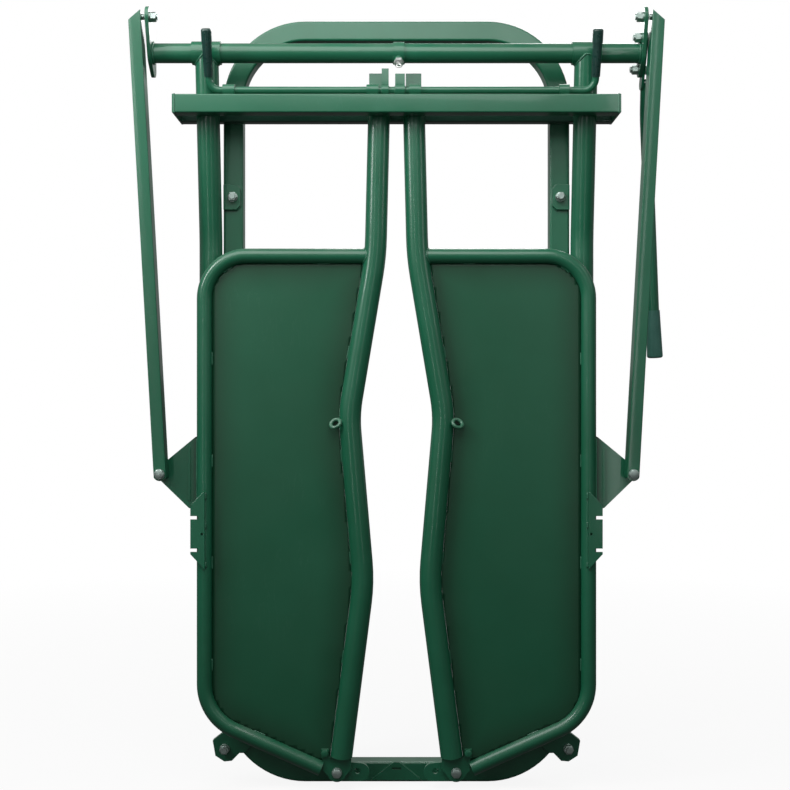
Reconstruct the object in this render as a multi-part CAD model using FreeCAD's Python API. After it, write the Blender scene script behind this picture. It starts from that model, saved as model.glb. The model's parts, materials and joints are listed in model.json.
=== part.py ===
"""Cattle head gate: a swing-stanchion gate for the front of a cattle crush.

Lengths are millimetres.  X runs to the right as the handler sees the gate, Y runs back
towards the crush and Z runs up.  The origin is the middle of the bow's bottom face.
Every side piece is modelled for the right-hand side (+X) and mirrored for the left.
"""
import FreeCAD, Part
import math
import os

V = FreeCAD.Vector
X_AXIS = V(1, 0, 0)
Y_AXIS = V(0, 1, 0)
Z_AXIS = V(0, 0, 1)

# Clearances and fits
weld_gap = 0.15          # two welded faces lie this far apart
run_gap = 0.6            # between plates that turn on each other
bore_gap = 0.25          # on the radius of a hole round a bolt
snug_gap = 0.05          # on the radius of a washer or band held tight
root = 0.5               # how far a raised detail is let into the piece that it stands on

# Bow: the closed square-tube hoop at the back
bow_width = 778.0
bow_height = 1710.0
bow_tube = 44.45
bow_wall = 3.2
bow_corner = 184.0       # outer radius of its four corners
bow_edge = 5.0

# Header: two rails with a slot between them for the stanchion tops
rail_overhang = 43.05    # the rails reach this far past the posts
rail_drop = 233.0        # their underside is this far below the bow's top
rail_height = 40.0
rail_wall = 3.0
rail_edge = 3.0
front_rail_depth = 36.0
rear_rail_depth = 30.0
slot_width = 58.0
end_plate = 5.0

# Posts beside the bow, leaning forward above the doors to carry the shaft
post_dia = 50.8
post_wall = 3.2
post_foot = 320.0
post_foot_wall = 3.0     # closes the tube's foot
post_bend_drop = 282.0   # its bend is this far below the rails' middle
post_bend_radius = 300.0
door_post_gap = 2.2

# Shaft across the top, its bearing sleeves and its arms
shaft_rise = 99.0        # above the rails
shaft_dia = 42.2
shaft_wall = 3.6
sleeve_bore_gap = 0.4
sleeve_wall = 3.6
sleeve_length = 63.0
arm_clear = 48.0         # from the rails' ends out to the arms
arm_thick = 8.0
arm_lean = 30.0          # degrees that the arm's top leans forward
arm_pin_radius = 78.0
arm_pin_boss = 22.0
arm_hub_boss = 32.0
arm_tail = 36.0
arm_tail_boss = 17.0

# Links from the arms down to the doors
link_width = 27.0
link_depth = 38.0
link_wall = 3.0
link_edge = 2.0
link_gap = 9.0           # between arm plate and link
link_foot_reach = 89.8   # out from the door's upright
link_foot_z = 698.3
link_foot_end = 14.5     # end radius below the foot bolt
link_head_inner = 11.0   # the mitred top stands this far above the pin on its inner side
link_head_outer = -10.0
link_tilt_gap = 0.8      # round the foot bolt, so that the link can tip
link_tip_gap = 1.3       # likewise to the washers on both sides

# Pull handle on the right arm
handle_dia = 26.7
handle_wall = 2.6
handle_tongue = 5.5
handle_tongue_width = 32.0
handle_tongue_top = 46.0
handle_tongue_low = 68.0  # along the arm, below the shaft, to the tongue's lower end
handle_tube_top = 60.0   # likewise to the tube's upper end
handle_knee = 140.0      # likewise to the handle's bend
handle_splay = 6.0       # the bend lies this far further out than the tongue
handle_bend_radius = 90.0
handle_foot_out = 49.0   # beyond the arm's outer face
handle_foot_z = 962.0
handle_foot_back = 114.0  # behind the shaft
handle_bolt_pitch = 34.0
grip_length = 108.0
grip_top_dia = 29.6
grip_end_dia = 36.0
grip_bore_gap = 0.1
grip_end = 8.0
grip_round = 5.0

# Latch rod on the front rail
rod_dia = 15.5
guide_dia = 25.4
rod_bore_gap = 0.3
rod_before_shaft = 23.306   # the rod lies this far forward of the shaft
rod_left_short = 8.5     # its left end stops this far short of the post's middle
rod_right_past = 15.5    # and its right end goes this far past it
rod_lean = 20.0
rod_arm = 122.0
rod_bend = 25.0
guide_inset = 51.5       # the outer guides stand this far in from the posts
guide_width = 26.0
right_guide_width = 22.0
inner_guides = (-52.0, 40.0)
rod_grip_dia = 22.6
rod_grip_neck = 21.0     # below its thicker end
rod_grip_low_dia = 18.5
rod_grip_thick_end = 30.0
rod_grip_start = 29.0
rod_grip_cap = 7.0
dog_places = ((-24.5, 15.0, 46.0), (7.5, 21.0, 35.0))   # middle, width, height above the rod
dog_depth = 15.0
dog_hub_dia = 24.0
dog_round = 3.0

# Stanchions: the two bent neck tubes, as points (half the span, height) on the centreline
stanchion_dia = 48.3
stanchion_wall = 3.7
stanchion_top_x = 38.0
stanchion_reach = 31.0   # its top is this far above the rails' underside
stanchion_shoulder = (46.0, 1175.0)
stanchion_neck = (104.3, 826.0)
stanchion_knee = (72.6, 458.0)
stanchion_foot = (121.5, 73.5)
shoulder_radius = 600.0
neck_radius = 300.0
knee_radius = 420.0
left_tab = (31.0, 29.0)   # from the middle of the gate to the tab's inner edge, and its width
right_tab = (20.5, 34.0)
tab_thick = 10.0
tab_stand = 59.0         # above the rails
tab_round = 2.0
cap_thick = 4.0

# Doors: a bent tube round a steel sheet
frame_dia = 33.4
frame_wall = 2.8
door_outset = 7.95       # the outer upright's centreline lies this far outside the post's
door_top = 1175.0
door_top_radius = 93.0
door_low_corner = 162.0  # height where the upright and the bottom rail would meet
door_low_radius = 110.0
door_low_slope = 23.9    # degrees
door_low_end = 166.0
door_cope = 12.0         # how far the top rail's line runs into the stanchion before it is coped
sheet_thick = 2.7

# Plates on the outer upright
bracket_thick = 6.0
bracket_nose = 16.0
bracket_corner = 1.0     # radius of its two far corners
bracket_top = 778.0
bracket_low = 621.0
bracket_low_reach = 32.5 # out from the upright's centreline
crease_width = 6.0
crease_height = 2.5
crease_low = 18.0        # the crease stops this far above the bracket's bottom
crease_high = 24.0       # and this far below its top
notch_thick = 6.0
notch_reach = 27.5       # out from the upright's centreline
notch_lap = 3.5          # in from it
notch_top = 658.0
notch_low = 489.0
notch_bevel = 33.0
notch_slot = 7.6
notch_slot_depth = 17.0
notch_upper_slot = 601.5
notch_lower_slot = 530.5
notch_hole_dia = 6.0
notch_hole_reach = 2.2

# Neck hook welded beside each stanchion's widest bend
hook_height = 807.0
hook_ring = 11.0
hook_rod = 4.0
hook_x = 133.5
hook_forward = 15.0
hook_facing = (0.35, -0.7, 0.62)   # its ring faces the handler, tipped up and outwards

# Pivot at the bottom of each door
pivot_x = 131.0
pivot_z = 40.0
pivot_plate_thick = 12.0
pivot_plate_front = 4.0   # its front face stands this far forward of the door plane
pivot_plate_half = 31.5
pivot_plate_top = 73.0
pivot_shoulder = 46.0    # where the plate starts to narrow towards its round end
pivot_waist = 33.0
pivot_boss = 21.0
base_lug_thick = 8.0
base_lug_boss = 22.0
base_second_x = 80.0
base_second_z = 37.0
base_second_boss = 20.0
base_hole_x = 86.0
base_hole_dia = 13.5
base_lug_bottom = 18.0
base_spacer_width = 26.0
base_spacer_height = 22.0
base_spacer_x = 104.0
gusset_half = 56.0
gusset_height = 46.0
gusset_peak = 6.0
gusset_thick = 6.0
gusset_low = 6.0
gusset_slot = 16.0
gusset_slot_dia = 5.0
gusset_slot_drop = 14.0  # below the plate's top
stop_tab_width = 16.0
stop_tab_thick = 6.0
stop_tab_x = 157.0
stop_tab_z = 84.0

# Mounting lugs
lug_thick = 8.0
upper_lug_drop = 397.0   # below the bow's top
upper_lug_width = 38.0
upper_lug_height = 56.0
upper_lug_bevel = 9.0
lower_lug_inset = 4.0    # in from the bow's outside
lower_lug_z = 77.0
lower_lug_boss = 34.0
lower_lug_corners = ((-90.0, 60.0), (4.0, 36.0), (27.0, 18.0), (21.0, -16.0), (1.0, -29.0),
                     (-16.0, -27.5), (-33.0, -10.0), (-90.0, -10.0))   # from its bolt
lower_lug_root = 29.7    # end radius of the part that lies on the bow
lower_lug_span = 36.5
lug_bolt_reach = 45.0    # shank standing out behind the bow

# Bolts
bolt_dia = 12.7
bolt_flats = 19.0
bolt_head = 8.0
nut_height = 11.0
stud_seat_dia = 11.9      # a stud under its back nut, where only half the thread is drawn
stud_seat_end = 1.0      # and this far past the nut
washer_dia = 22.5
washer_thick = 2.5
small_bolt_dia = 9.5
small_bolt_flats = 14.3
small_bolt_head = 6.4
thread_end = 4.0         # thread showing past a nut
flat_washer_dia = 22.0
small_washer_dia = 20.0
trigger_band_width = 24.0
trigger_band_wall = 3.0
trigger_x = 5.0
trigger_tip = 40.0       # degrees from straight down that the trigger bolt points forward
trigger_boss_dia = 20.0
trigger_boss = 5.0
trigger_head = 9.0
trigger_shank_dia = 8.0
trigger_shank = 2.0
trigger_eye = 5.0
trigger_wire = 1.6
pin_split = 1.2          # between the halves of the pin through arm and link
pin_head = 7.0
pin_head_stand = 1.2

# Worked out from the sizes above
door_y = -(bow_tube / 2 + rear_rail_depth + slot_width / 2)
bow_front = -bow_tube / 2
rear_rail_front = bow_front - rear_rail_depth
front_rail_back = door_y - slot_width / 2
front_rail_front = front_rail_back - front_rail_depth
rail_bottom = bow_height - rail_drop
rail_top = rail_bottom + rail_height
rail_middle = rail_bottom + rail_height / 2
post_x = bow_width / 2 + post_dia / 2 + weld_gap
rail_half = post_x + post_dia / 2 + rail_overhang
post_bend = rail_middle - post_bend_drop
post_low_y = door_y + frame_dia / 2 + door_post_gap + post_dia / 2
post_slope = (post_low_y - door_y) / (rail_middle - post_bend)
shaft_height = rail_top + shaft_rise
shaft_y = door_y - post_slope * (shaft_height - rail_middle)
sleeve_bore = shaft_dia / 2 + sleeve_bore_gap
sleeve_radius = sleeve_bore + sleeve_wall
arm_inner = rail_half + arm_clear
arm_outer = arm_inner + arm_thick
arm_rad = math.radians(arm_lean)
arm_dir = V(0, -math.sin(arm_rad), math.cos(arm_rad))
shaft_mid = V(0, shaft_y, shaft_height)
pin_point = shaft_mid + arm_dir * arm_pin_radius
link_inner = arm_outer + link_gap
link_head = V(link_inner + link_width / 2, pin_point.y, pin_point.z)
bracket_front = door_y - bracket_thick
door_side = post_x + door_outset
link_foot_x = door_side + link_foot_reach
link_foot = V(link_foot_x, bracket_front - link_tip_gap - washer_thick - link_depth / 2, link_foot_z)
bracket_low_x = door_side + bracket_low_reach
notch_outer = door_side + notch_reach
notch_inner = door_side - notch_lap
handle_foot_x = arm_outer + handle_foot_out
stanchion_top = (stanchion_top_x, rail_bottom + stanchion_reach)
tab_top = rail_top + tab_stand
rod_y = shaft_y - rod_before_shaft
rod_z = rail_top + guide_dia / 2
rod_ends = {-1: post_x - rod_left_short, 1: post_x + rod_right_past}
guide_x = post_x - guide_inset
rod_guide_places = ((-guide_x, guide_width), (inner_guides[0], guide_width),
                    (inner_guides[1], guide_width), (guide_x, right_guide_width))
upper_lug_z = bow_height - upper_lug_drop
lower_lug_x = bow_width / 2 - lower_lug_inset
pivot_front = door_y - pivot_plate_front
pivot_back = pivot_front + pivot_plate_thick
base_front = pivot_back + run_gap
base_back = base_front + base_lug_thick


def box(x0, x1, y0, y1, z0, z1):
    """A block between two corners."""
    return Part.makeBox(x1 - x0, y1 - y0, z1 - z0, V(x0, y0, z0))


def rod(start, direction, radius, length):
    """A round bar."""
    return Part.makeCylinder(radius, length, start, direction)


def mirrored(shape):
    """The same piece on the left-hand side."""
    return shape.mirror(V(0, 0, 0), X_AXIS)


def joined(shapes):
    """One solid from pieces that run into each other."""
    result = shapes[0]
    for shape in shapes[1:]:
        result = result.fuse(shape)
    return result.removeSplitter()


def in_xz(points, y0, thickness):
    """A plate with its outline in the X-Z plane."""
    outline = [V(x, y0, z) for x, z in points]
    outline.append(outline[0])
    return Part.Face(Part.makePolygon(outline)).extrude(V(0, thickness, 0))


def rounded_frame(width, height, radius, band, y0, depth):
    """A flat ring: a rounded rectangle standing on z = 0 with a band this wide, grown back in Y."""
    def outline(inset):
        half = width / 2 - inset
        low = inset
        high = height - inset
        r = radius - inset
        k = r * (1 - math.sqrt(0.5))
        corners = ((half, low, -1, 1), (half, high, -1, -1), (-half, high, 1, -1), (-half, low, 1, 1))
        edges = []
        ends = []
        for index, (x, z, sx, sz) in enumerate(corners):
            level = V(x + sx * r, y0, z)
            upright = V(x, y0, z + sz * r)
            middle = V(x + sx * k, y0, z + sz * k)
            first, last = (level, upright) if index % 2 == 0 else (upright, level)
            edges.append(Part.Arc(first, middle, last).toShape())
            ends.append((first, last))
        for index in range(4):
            edges.append(Part.LineSegment(ends[index][1], ends[(index + 1) % 4][0]).toShape())
        return Part.Face(Part.Wire(Part.__sortEdges__(edges)))
    ring = outline(0.0).cut(outline(band))
    return ring.extrude(V(0, depth, 0))


def bent_wire(points, radii):
    """Straight runs joined by tangent arcs at the inner points."""
    edges = []
    start = points[0]
    for index in range(1, len(points) - 1):
        corner = points[index]
        back = (points[index - 1] - corner).normalize()
        onward = (points[index + 1] - corner).normalize()
        half_turn = (math.pi - back.getAngle(onward)) / 2
        reach = radii[index - 1] * math.tan(half_turn)
        first = corner + back * reach
        last = corner + onward * reach
        inward = (back + onward).normalize()
        middle = corner + inward * (radii[index - 1] / math.cos(half_turn) - radii[index - 1])
        edges.append(Part.LineSegment(start, first).toShape())
        edges.append(Part.Arc(first, middle, last).toShape())
        start = last
    edges.append(Part.LineSegment(start, points[-1]).toShape())
    return Part.Wire(edges)


def swept(points, radii, radius):
    """A round bar along a bent line."""
    path = bent_wire(points, radii)
    direction = points[1] - points[0]
    section = Part.Wire(Part.makeCircle(radius, points[0], direction))
    return path.makePipeShell([section], True, False)


def bent_tube(points, radii, diameter, wall):
    """A bent round tube."""
    outer = swept(points, radii, diameter / 2)
    return outer.cut(swept(points, radii, diameter / 2 - wall))


def belt(first, first_radius, last, last_radius):
    """The outline of a flat strap with round ends, as a face normal to X or Y."""
    across = last - first
    span = across.Length
    normal = Y_AXIS if abs(across.y) < 1e-9 and abs(first.y - last.y) < 1e-9 else X_AXIS
    along = V(across).normalize()
    side = normal.cross(along)
    lean = math.asin((first_radius - last_radius) / span)
    plus = along * math.sin(lean) + side * math.cos(lean)
    minus = along * math.sin(lean) - side * math.cos(lean)
    corners = [first + plus * first_radius, last + plus * last_radius,
               last + minus * last_radius, first + minus * first_radius]
    middle = Part.Face(Part.makePolygon(corners + [corners[0]]))
    return middle, normal


def strap(first, first_radius, last, last_radius, thickness):
    """A flat strap with round ends, its first face through the two points, grown along X or Y."""
    face, normal = belt(first, first_radius, last, last_radius)
    web = face.extrude(normal * thickness)
    if thickness < 0:
        start_a = first + normal * thickness
        start_b = last + normal * thickness
    else:
        start_a = first
        start_b = last
    ends = [rod(start_a, normal, first_radius, abs(thickness)),
            rod(start_b, normal, last_radius, abs(thickness))]
    return joined([web] + ends)


def hexagon(centre, direction, flats, height):
    """A six-sided head or nut on a flat, with the tips of its corners turned off."""
    frame = FreeCAD.Rotation(Z_AXIS, direction)
    radius = flats / math.sqrt(3)
    points = [V(radius * math.cos(math.radians(60 * k)), radius * math.sin(math.radians(60 * k)), 0)
              for k in range(7)]
    prism = Part.Face(Part.makePolygon(points)).extrude(V(0, 0, height))
    top = flats / 2 * 0.98
    turned = Part.makeCone(top + height * math.sqrt(3), top, height, V(0, 0, 0), Z_AXIS)
    shape = prism.common(turned)
    shape.Placement = FreeCAD.Placement(centre, frame)
    return shape


def bolt(seat, direction, diameter, flats, head, length):
    """A hex bolt: its head stands on the seat against the direction that the shank runs."""
    back = direction * -1
    return joined([hexagon(seat, back, flats, head),
                   rod(seat + back * root, direction, diameter / 2, length + root)])


def ring(seat, direction, outer, inner, height):
    """A washer or collar."""
    return rod(seat, direction, outer, height).cut(rod(seat, direction, inner, height))


def nut(seat, direction, flats, height, diameter):
    """A hex nut standing on the seat."""
    hole = rod(seat - direction, direction, diameter / 2 + bore_gap, height + 2)
    return hexagon(seat, direction, flats, height).cut(hole)


def bow():
    """The hoop: a square tube bent round into a closed ring."""
    outer = rounded_frame(bow_width, bow_height, bow_corner, bow_tube, bow_front, bow_tube)
    long_edges = [e for e in outer.Edges
                  if abs(e.BoundBox.YLength) < 0.01]
    outer = outer.makeFillet(bow_edge, long_edges)
    void = rounded_frame(bow_width - 2 * bow_wall, bow_height - 2 * bow_wall, bow_corner - bow_wall,
                         bow_tube - 2 * bow_wall, bow_front + bow_wall, bow_tube - 2 * bow_wall)
    void.translate(V(0, 0, bow_wall))
    return outer.cut(void)


def rail(y0, y1):
    """A header rail: a rectangular tube between the end plates."""
    half = rail_half - end_plate
    outer = box(-half, half, y0, y1, rail_bottom, rail_top)
    long_edges = [e for e in outer.Edges if e.BoundBox.XLength > half]
    outer = outer.makeFillet(rail_edge, long_edges)
    void = box(-half, half, y0 + rail_wall, y1 - rail_wall, rail_bottom + rail_wall, rail_top - rail_wall)
    return outer.cut(void)


def post():
    """A round post, closed at its foot, upright beside the bow and leaning forward to the shaft."""
    lean_top = V(post_x, shaft_y, shaft_height)
    bend = V(post_x, post_low_y, post_bend)
    foot = V(post_x, post_low_y, post_foot)
    outer = swept([lean_top, bend, foot], [post_bend_radius], post_dia / 2)
    bore_end = foot + Z_AXIS * post_foot_wall
    bore = swept([lean_top, bend, bore_end], [post_bend_radius], post_dia / 2 - post_wall)
    cope = rod(lean_top - X_AXIS * sleeve_length, X_AXIS, sleeve_radius + weld_gap, 2 * sleeve_length)
    return outer.cut(bore).cut(cope)


def bearing_sleeve():
    """The short tube on the post's top that the shaft turns in."""
    return ring(V(post_x - sleeve_length / 2, shaft_y, shaft_height), X_AXIS,
                sleeve_radius, sleeve_bore, sleeve_length)


def upper_lug():
    """A bevelled plate on the front of the bow's upright."""
    x1 = bow_width / 2 - 1.0
    x0 = x1 - upper_lug_width
    z0 = upper_lug_z - upper_lug_height / 2
    z1 = z0 + upper_lug_height
    b = upper_lug_bevel
    points = [(x0 + b, z0), (x1, z0), (x1, z1), (x0 + b, z1), (x0, z1 - b), (x0, z0 + b)]
    plate = in_xz(points, bow_front - lug_thick, lug_thick)
    return plate.cut(lug_hole(upper_lug_bolt()))


def lower_lug():
    """A plate with sheared corners welded onto the bow's lower corner."""
    arc_centre = V(bow_width / 2 - bow_corner, bow_front, bow_corner)
    boss = V(lower_lug_x, bow_front, lower_lug_z)
    inward = (arc_centre - boss).normalize()
    inner = boss + inward * lower_lug_span
    plate = strap(boss, lower_lug_boss, inner, lower_lug_root, -lug_thick)
    ear = strap(boss, lower_lug_boss, inner, lower_lug_root, bow_tube - bow_edge)
    bow_body = rod(V(arc_centre.x, bow_front - 1, arc_centre.z), Y_AXIS, bow_corner + weld_gap, bow_tube)
    ear = ear.cut(bow_body)
    thin = ear.common(box(0, bow_width, bow_front, bow_front + lug_thick, 0, bow_height))
    shears = in_xz([(boss.x + x, boss.z + z) for x, z in lower_lug_corners],
                   bow_front - lug_thick, 2 * lug_thick)
    return joined([plate, thin]).common(shears).cut(lug_hole(boss))


def lug_hole(centre):
    """The bolt hole through a lug and whatever lies behind it."""
    return rod(V(centre.x, bow_front - 2 * lug_thick, centre.z), Y_AXIS, bolt_dia / 2 + bore_gap,
               bow_tube + 3 * lug_thick)


def upper_lug_bolt():
    """Where the upper mounting bolt passes."""
    return V(bow_width / 2 - bow_tube / 2, 0, upper_lug_z)


def lower_lug_bolt():
    """Where the lower mounting bolt passes."""
    return V(lower_lug_x, 0, lower_lug_z)


def mounting_stud(centre, back_face):
    """A stud through the lug and its two nuts, with its back end free for the user's panel."""
    start = bow_front - lug_thick - washer_thick - nut_height - thread_end
    shank = rod(V(centre.x, start, centre.z), Y_AXIS, bolt_dia / 2, bow_tube / 2 + lug_bolt_reach - start)
    return shank.cut(ring(V(centre.x, back_face, centre.z), Y_AXIS, bolt_dia, stud_seat_dia / 2,
                          nut_height + stud_seat_end))


def mounting_nuts(centre, back_face):
    """The nut in front of the lug and the nut behind the steel."""
    front = nut(V(centre.x, bow_front - lug_thick - washer_thick, centre.z), Y_AXIS * -1,
                bolt_flats, nut_height, bolt_dia)
    plain = ring(V(centre.x, bow_front - lug_thick, centre.z), Y_AXIS * -1, flat_washer_dia / 2,
                 bolt_dia / 2 + bore_gap, washer_thick)
    behind = nut(V(centre.x, back_face, centre.z), Y_AXIS, bolt_flats, nut_height, stud_seat_dia)
    return [front, plain, behind]


def base_lug():
    """The plate that a door turns on, with its second hole and its spacer to the bow."""
    first = V(pivot_x, base_front, pivot_z)
    second = V(base_second_x, base_front, base_second_z)
    plate = strap(first, base_lug_boss, second, base_second_boss, base_lug_thick)
    skirt = box(base_second_x, pivot_x, base_front, base_back, base_lug_bottom, pivot_z)
    spacer = box(base_spacer_x - base_spacer_width / 2, base_spacer_x + base_spacer_width / 2,
                 base_back - 1.0, bow_front - weld_gap,
                 base_lug_bottom, base_lug_bottom + base_spacer_height)
    body = joined([plate, skirt, spacer])
    pivot_hole = rod(V(pivot_x, base_front - 1, pivot_z), Y_AXIS, bolt_dia / 2 + bore_gap, base_lug_thick + 2)
    spare_hole = rod(V(base_hole_x, base_front - 1, pivot_z), Y_AXIS, base_hole_dia / 2, base_lug_thick + 2)
    return body.cut(pivot_hole).cut(spare_hole)


def centre_gusset():
    """The three-cornered plate on the front of the bow's bottom."""
    y0 = bow_front - weld_gap - gusset_thick
    points = [(-gusset_half, gusset_low), (gusset_half, gusset_low),
              (gusset_peak, gusset_height), (-gusset_peak, gusset_height)]
    plate = in_xz(points, y0, gusset_thick)
    slot_z = gusset_height - gusset_slot_drop
    slot = strap(V(-gusset_slot / 2, y0 - 1, slot_z), gusset_slot_dia / 2,
                 V(gusset_slot / 2, y0 - 1, slot_z), gusset_slot_dia / 2, gusset_thick + 2)
    return plate.cut(slot)


def pivot_bolt():
    """The bolt that a door turns on, with its washer and nut."""
    seat = V(pivot_x, pivot_front - run_gap - washer_thick, pivot_z)
    length = base_back - seat.y + nut_height + thread_end
    main = bolt(seat, Y_AXIS, bolt_dia, bolt_flats, bolt_head, length)
    front = ring(seat, Y_AXIS, washer_dia / 2, bolt_dia / 2 + snug_gap, washer_thick)
    back = nut(V(pivot_x, base_back, pivot_z), Y_AXIS, bolt_flats, nut_height, bolt_dia)
    return Part.makeCompound([main, front, back])


def rod_guides():
    """The short collars on the front rail that the latch rod turns in."""
    collars = []
    for middle, width in rod_guide_places:
        collars.append(ring(V(middle - width / 2, rod_y, rod_z), X_AXIS, guide_dia / 2,
                            rod_dia / 2 + rod_bore_gap, width))
    return Part.makeCompound(collars)


def arm():
    """The flat arm on the end of the shaft."""
    origin = V(arm_inner, shaft_y, shaft_height)
    upper = strap(origin, arm_hub_boss, origin + arm_dir * arm_pin_radius, arm_pin_boss, arm_thick)
    lower = strap(origin, arm_hub_boss, origin - arm_dir * arm_tail, arm_tail_boss, arm_thick)
    pin_hole = rod(origin + arm_dir * arm_pin_radius - X_AXIS, X_AXIS, bolt_dia / 2 + bore_gap, arm_thick + 2)
    return joined([upper, lower]).cut(pin_hole)


def handle_bolt_points():
    """The two bolt places on the right arm, along its middle."""
    base = V(arm_inner, shaft_y, shaft_height)
    return [base + arm_dir * handle_bolt_pitch, base - arm_dir * (handle_bolt_pitch + 2)]


def right_arm():
    """The right arm is also drilled for the handle's two bolts."""
    plate = arm()
    for point in handle_bolt_points():
        plate = plate.cut(rod(point - X_AXIS, X_AXIS, bolt_dia / 2 + bore_gap, arm_thick + 2))
    return plate


def arm_pin():
    """The inner half of the link pin: shank through the arm, washer and nut."""
    start = V(arm_inner - nut_height - washer_thick - thread_end, pin_point.y, pin_point.z)
    shank = rod(start, X_AXIS, bolt_dia / 2, arm_outer + (link_gap - pin_split) / 2 - start.x)
    flat = ring(V(arm_inner, pin_point.y, pin_point.z), X_AXIS * -1, flat_washer_dia / 2,
                bolt_dia / 2 + snug_gap, washer_thick)
    lock = nut(V(arm_inner - washer_thick, pin_point.y, pin_point.z), X_AXIS * -1,
               bolt_flats, nut_height, bolt_dia)
    return Part.makeCompound([shank, flat, lock])


def handle_line():
    """The handle tube's line: its top behind the tongue, its bend and its lower end."""
    tube_x = arm_outer + weld_gap + handle_dia / 2
    top = V(tube_x, shaft_y, shaft_height) - arm_dir * handle_tube_top
    knee = V(tube_x + handle_splay, shaft_y, shaft_height) - arm_dir * handle_knee
    foot = V(handle_foot_x, shaft_y + handle_foot_back, handle_foot_z)
    return top, knee, foot


def handle():
    """The pull handle: a flattened tongue on the arm, then a tube bent down to hang beside the link."""
    seat = V(arm_outer + weld_gap, shaft_y, shaft_height)
    top = seat + arm_dir * (handle_tongue_top - handle_tongue_width / 2)
    low = seat - arm_dir * handle_tongue_low
    tongue = strap(top, handle_tongue_width / 2, low, handle_dia / 2, handle_tongue)
    line = handle_line()
    outer = swept(line, [handle_bend_radius], handle_dia / 2)
    inner = swept(line, [handle_bend_radius], handle_dia / 2 - handle_wall)
    body = joined([outer.cut(inner), tongue])
    for point in handle_bolt_points():
        body = body.cut(rod(point, X_AXIS, bolt_dia / 2 + bore_gap, arm_thick + handle_dia))
    return body


def handle_grip():
    """The tapered grip over the handle's end."""
    _, knee, foot = handle_line()
    down = (foot - knee).normalize()
    start = foot - down * (grip_length - grip_end)
    sleeve = Part.makeCone(grip_top_dia / 2, grip_end_dia / 2, grip_length, start, down)
    rims = [e for e in sleeve.Edges if abs(e.Length - math.pi * grip_end_dia) < 0.5]
    sleeve = sleeve.makeFillet(grip_round, rims)
    return sleeve.cut(rod(start - down, down, handle_dia / 2 + grip_bore_gap, grip_length - grip_end + 1))


def handle_bolts():
    """The handle's two bolts: the upper head is let into the tongue, where the link passes close."""
    upper, lower = handle_bolt_points()
    inward = X_AXIS * -1
    pieces = []
    for point, flush in ((upper, True), (lower, False)):
        outer_face = V(arm_outer + weld_gap + handle_tongue, point.y, point.z)
        length = outer_face.x - arm_inner + washer_thick + nut_height + thread_end
        if flush:
            pieces.append(rod(outer_face, inward, bolt_dia / 2, length))
        else:
            pieces.append(bolt(outer_face, inward, bolt_dia, bolt_flats, bolt_head, length))
        pieces.append(ring(V(arm_inner, point.y, point.z), inward, small_washer_dia / 2,
                           bolt_dia / 2 + snug_gap, washer_thick))
        pieces.append(nut(V(arm_inner - washer_thick, point.y, point.z), inward, bolt_flats,
                          nut_height, bolt_dia))
    return Part.makeCompound(pieces)


def trigger_direction():
    """The way that the trigger bolt points: down and forward from the shaft."""
    tip = math.radians(trigger_tip)
    return V(0, -math.sin(tip), -math.cos(tip))


def trigger_band():
    """The band clamped round the shaft's middle, with the boss that holds the trigger bolt."""
    start = V(trigger_x - trigger_band_width / 2, shaft_y, shaft_height)
    clasp = ring(start, X_AXIS, shaft_dia / 2 + trigger_band_wall, shaft_dia / 2 + snug_gap,
                 trigger_band_width)
    stand = shaft_dia / 2 + trigger_band_wall / 2
    boss = rod(V(trigger_x, shaft_y, shaft_height) + trigger_direction() * stand, trigger_direction(),
               trigger_boss_dia / 2, trigger_band_wall / 2 + trigger_boss)
    return joined([clasp, boss])


def trigger_bolt():
    """The plated bolt in the band's boss, and the eye on its end."""
    down = trigger_direction()
    seat = V(trigger_x, shaft_y, shaft_height) + down * (shaft_dia / 2 + trigger_band_wall + trigger_boss)
    head = hexagon(seat, down, bolt_flats, trigger_head)
    tip = rod(seat + down * (trigger_head - root), down, trigger_shank_dia / 2, trigger_shank + root)
    hang = trigger_head + trigger_shank + trigger_eye
    eye = Part.makeTorus(trigger_eye, trigger_wire, seat + down * hang, down.cross(X_AXIS))
    return joined([head, tip, eye])


def latch_points(side):
    """The latch rod's line on one side: along the rail, then up into its handle."""
    lean = math.radians(rod_lean)
    end = V(side * rod_ends[side], rod_y, rod_z)
    up = V(0, -math.sin(lean), math.cos(lean))
    return V(0, rod_y, rod_z), end, end + up * rod_arm, up


def latch_rod():
    """The round rod with both ends bent up."""
    left = latch_points(-1)
    right = latch_points(1)
    return swept([left[2], left[1], right[1], right[2]], [rod_bend, rod_bend], rod_dia / 2)


def latch_grip(side):
    """The soft grip on one handle of the latch rod."""
    _, end, top, up = latch_points(side)
    start = end + up * rod_grip_start
    length = rod_arm - rod_grip_start + rod_grip_cap
    neck = length - rod_grip_thick_end
    thick_end = rod(start + up * neck, up, rod_grip_dia / 2, rod_grip_thick_end)
    far_rim = max((e for e in thick_end.Edges if e.Closed), key=lambda e: e.BoundBox.ZMax)
    thick_end = thick_end.makeFillet(grip_round, [far_rim])
    taper = Part.makeCone(rod_grip_low_dia / 2, rod_grip_neck / 2, neck, start, up)
    body = joined([taper, thick_end])
    return body.cut(rod(start - up, up, rod_dia / 2 + grip_bore_gap, rod_arm - rod_grip_start + 1))


def latch_dog(place):
    """An upright dog on the latch rod, with its hub."""
    middle, width, height = place
    hub = ring(V(middle - width / 2, rod_y, rod_z), X_AXIS, dog_hub_dia / 2, rod_dia / 2 + snug_gap, width)
    finger = box(middle - width / 2, middle + width / 2, rod_y - dog_depth / 2, rod_y + dog_depth / 2,
                 rod_z + (rod_dia + dog_hub_dia) / 4, rod_z + height)
    finger = finger.makeFillet(dog_round, [e for e in finger.Edges
                                     if e.BoundBox.ZMin > rod_z + height - 0.1 and e.BoundBox.XLength > 1])
    return joined([hub, finger])


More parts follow.
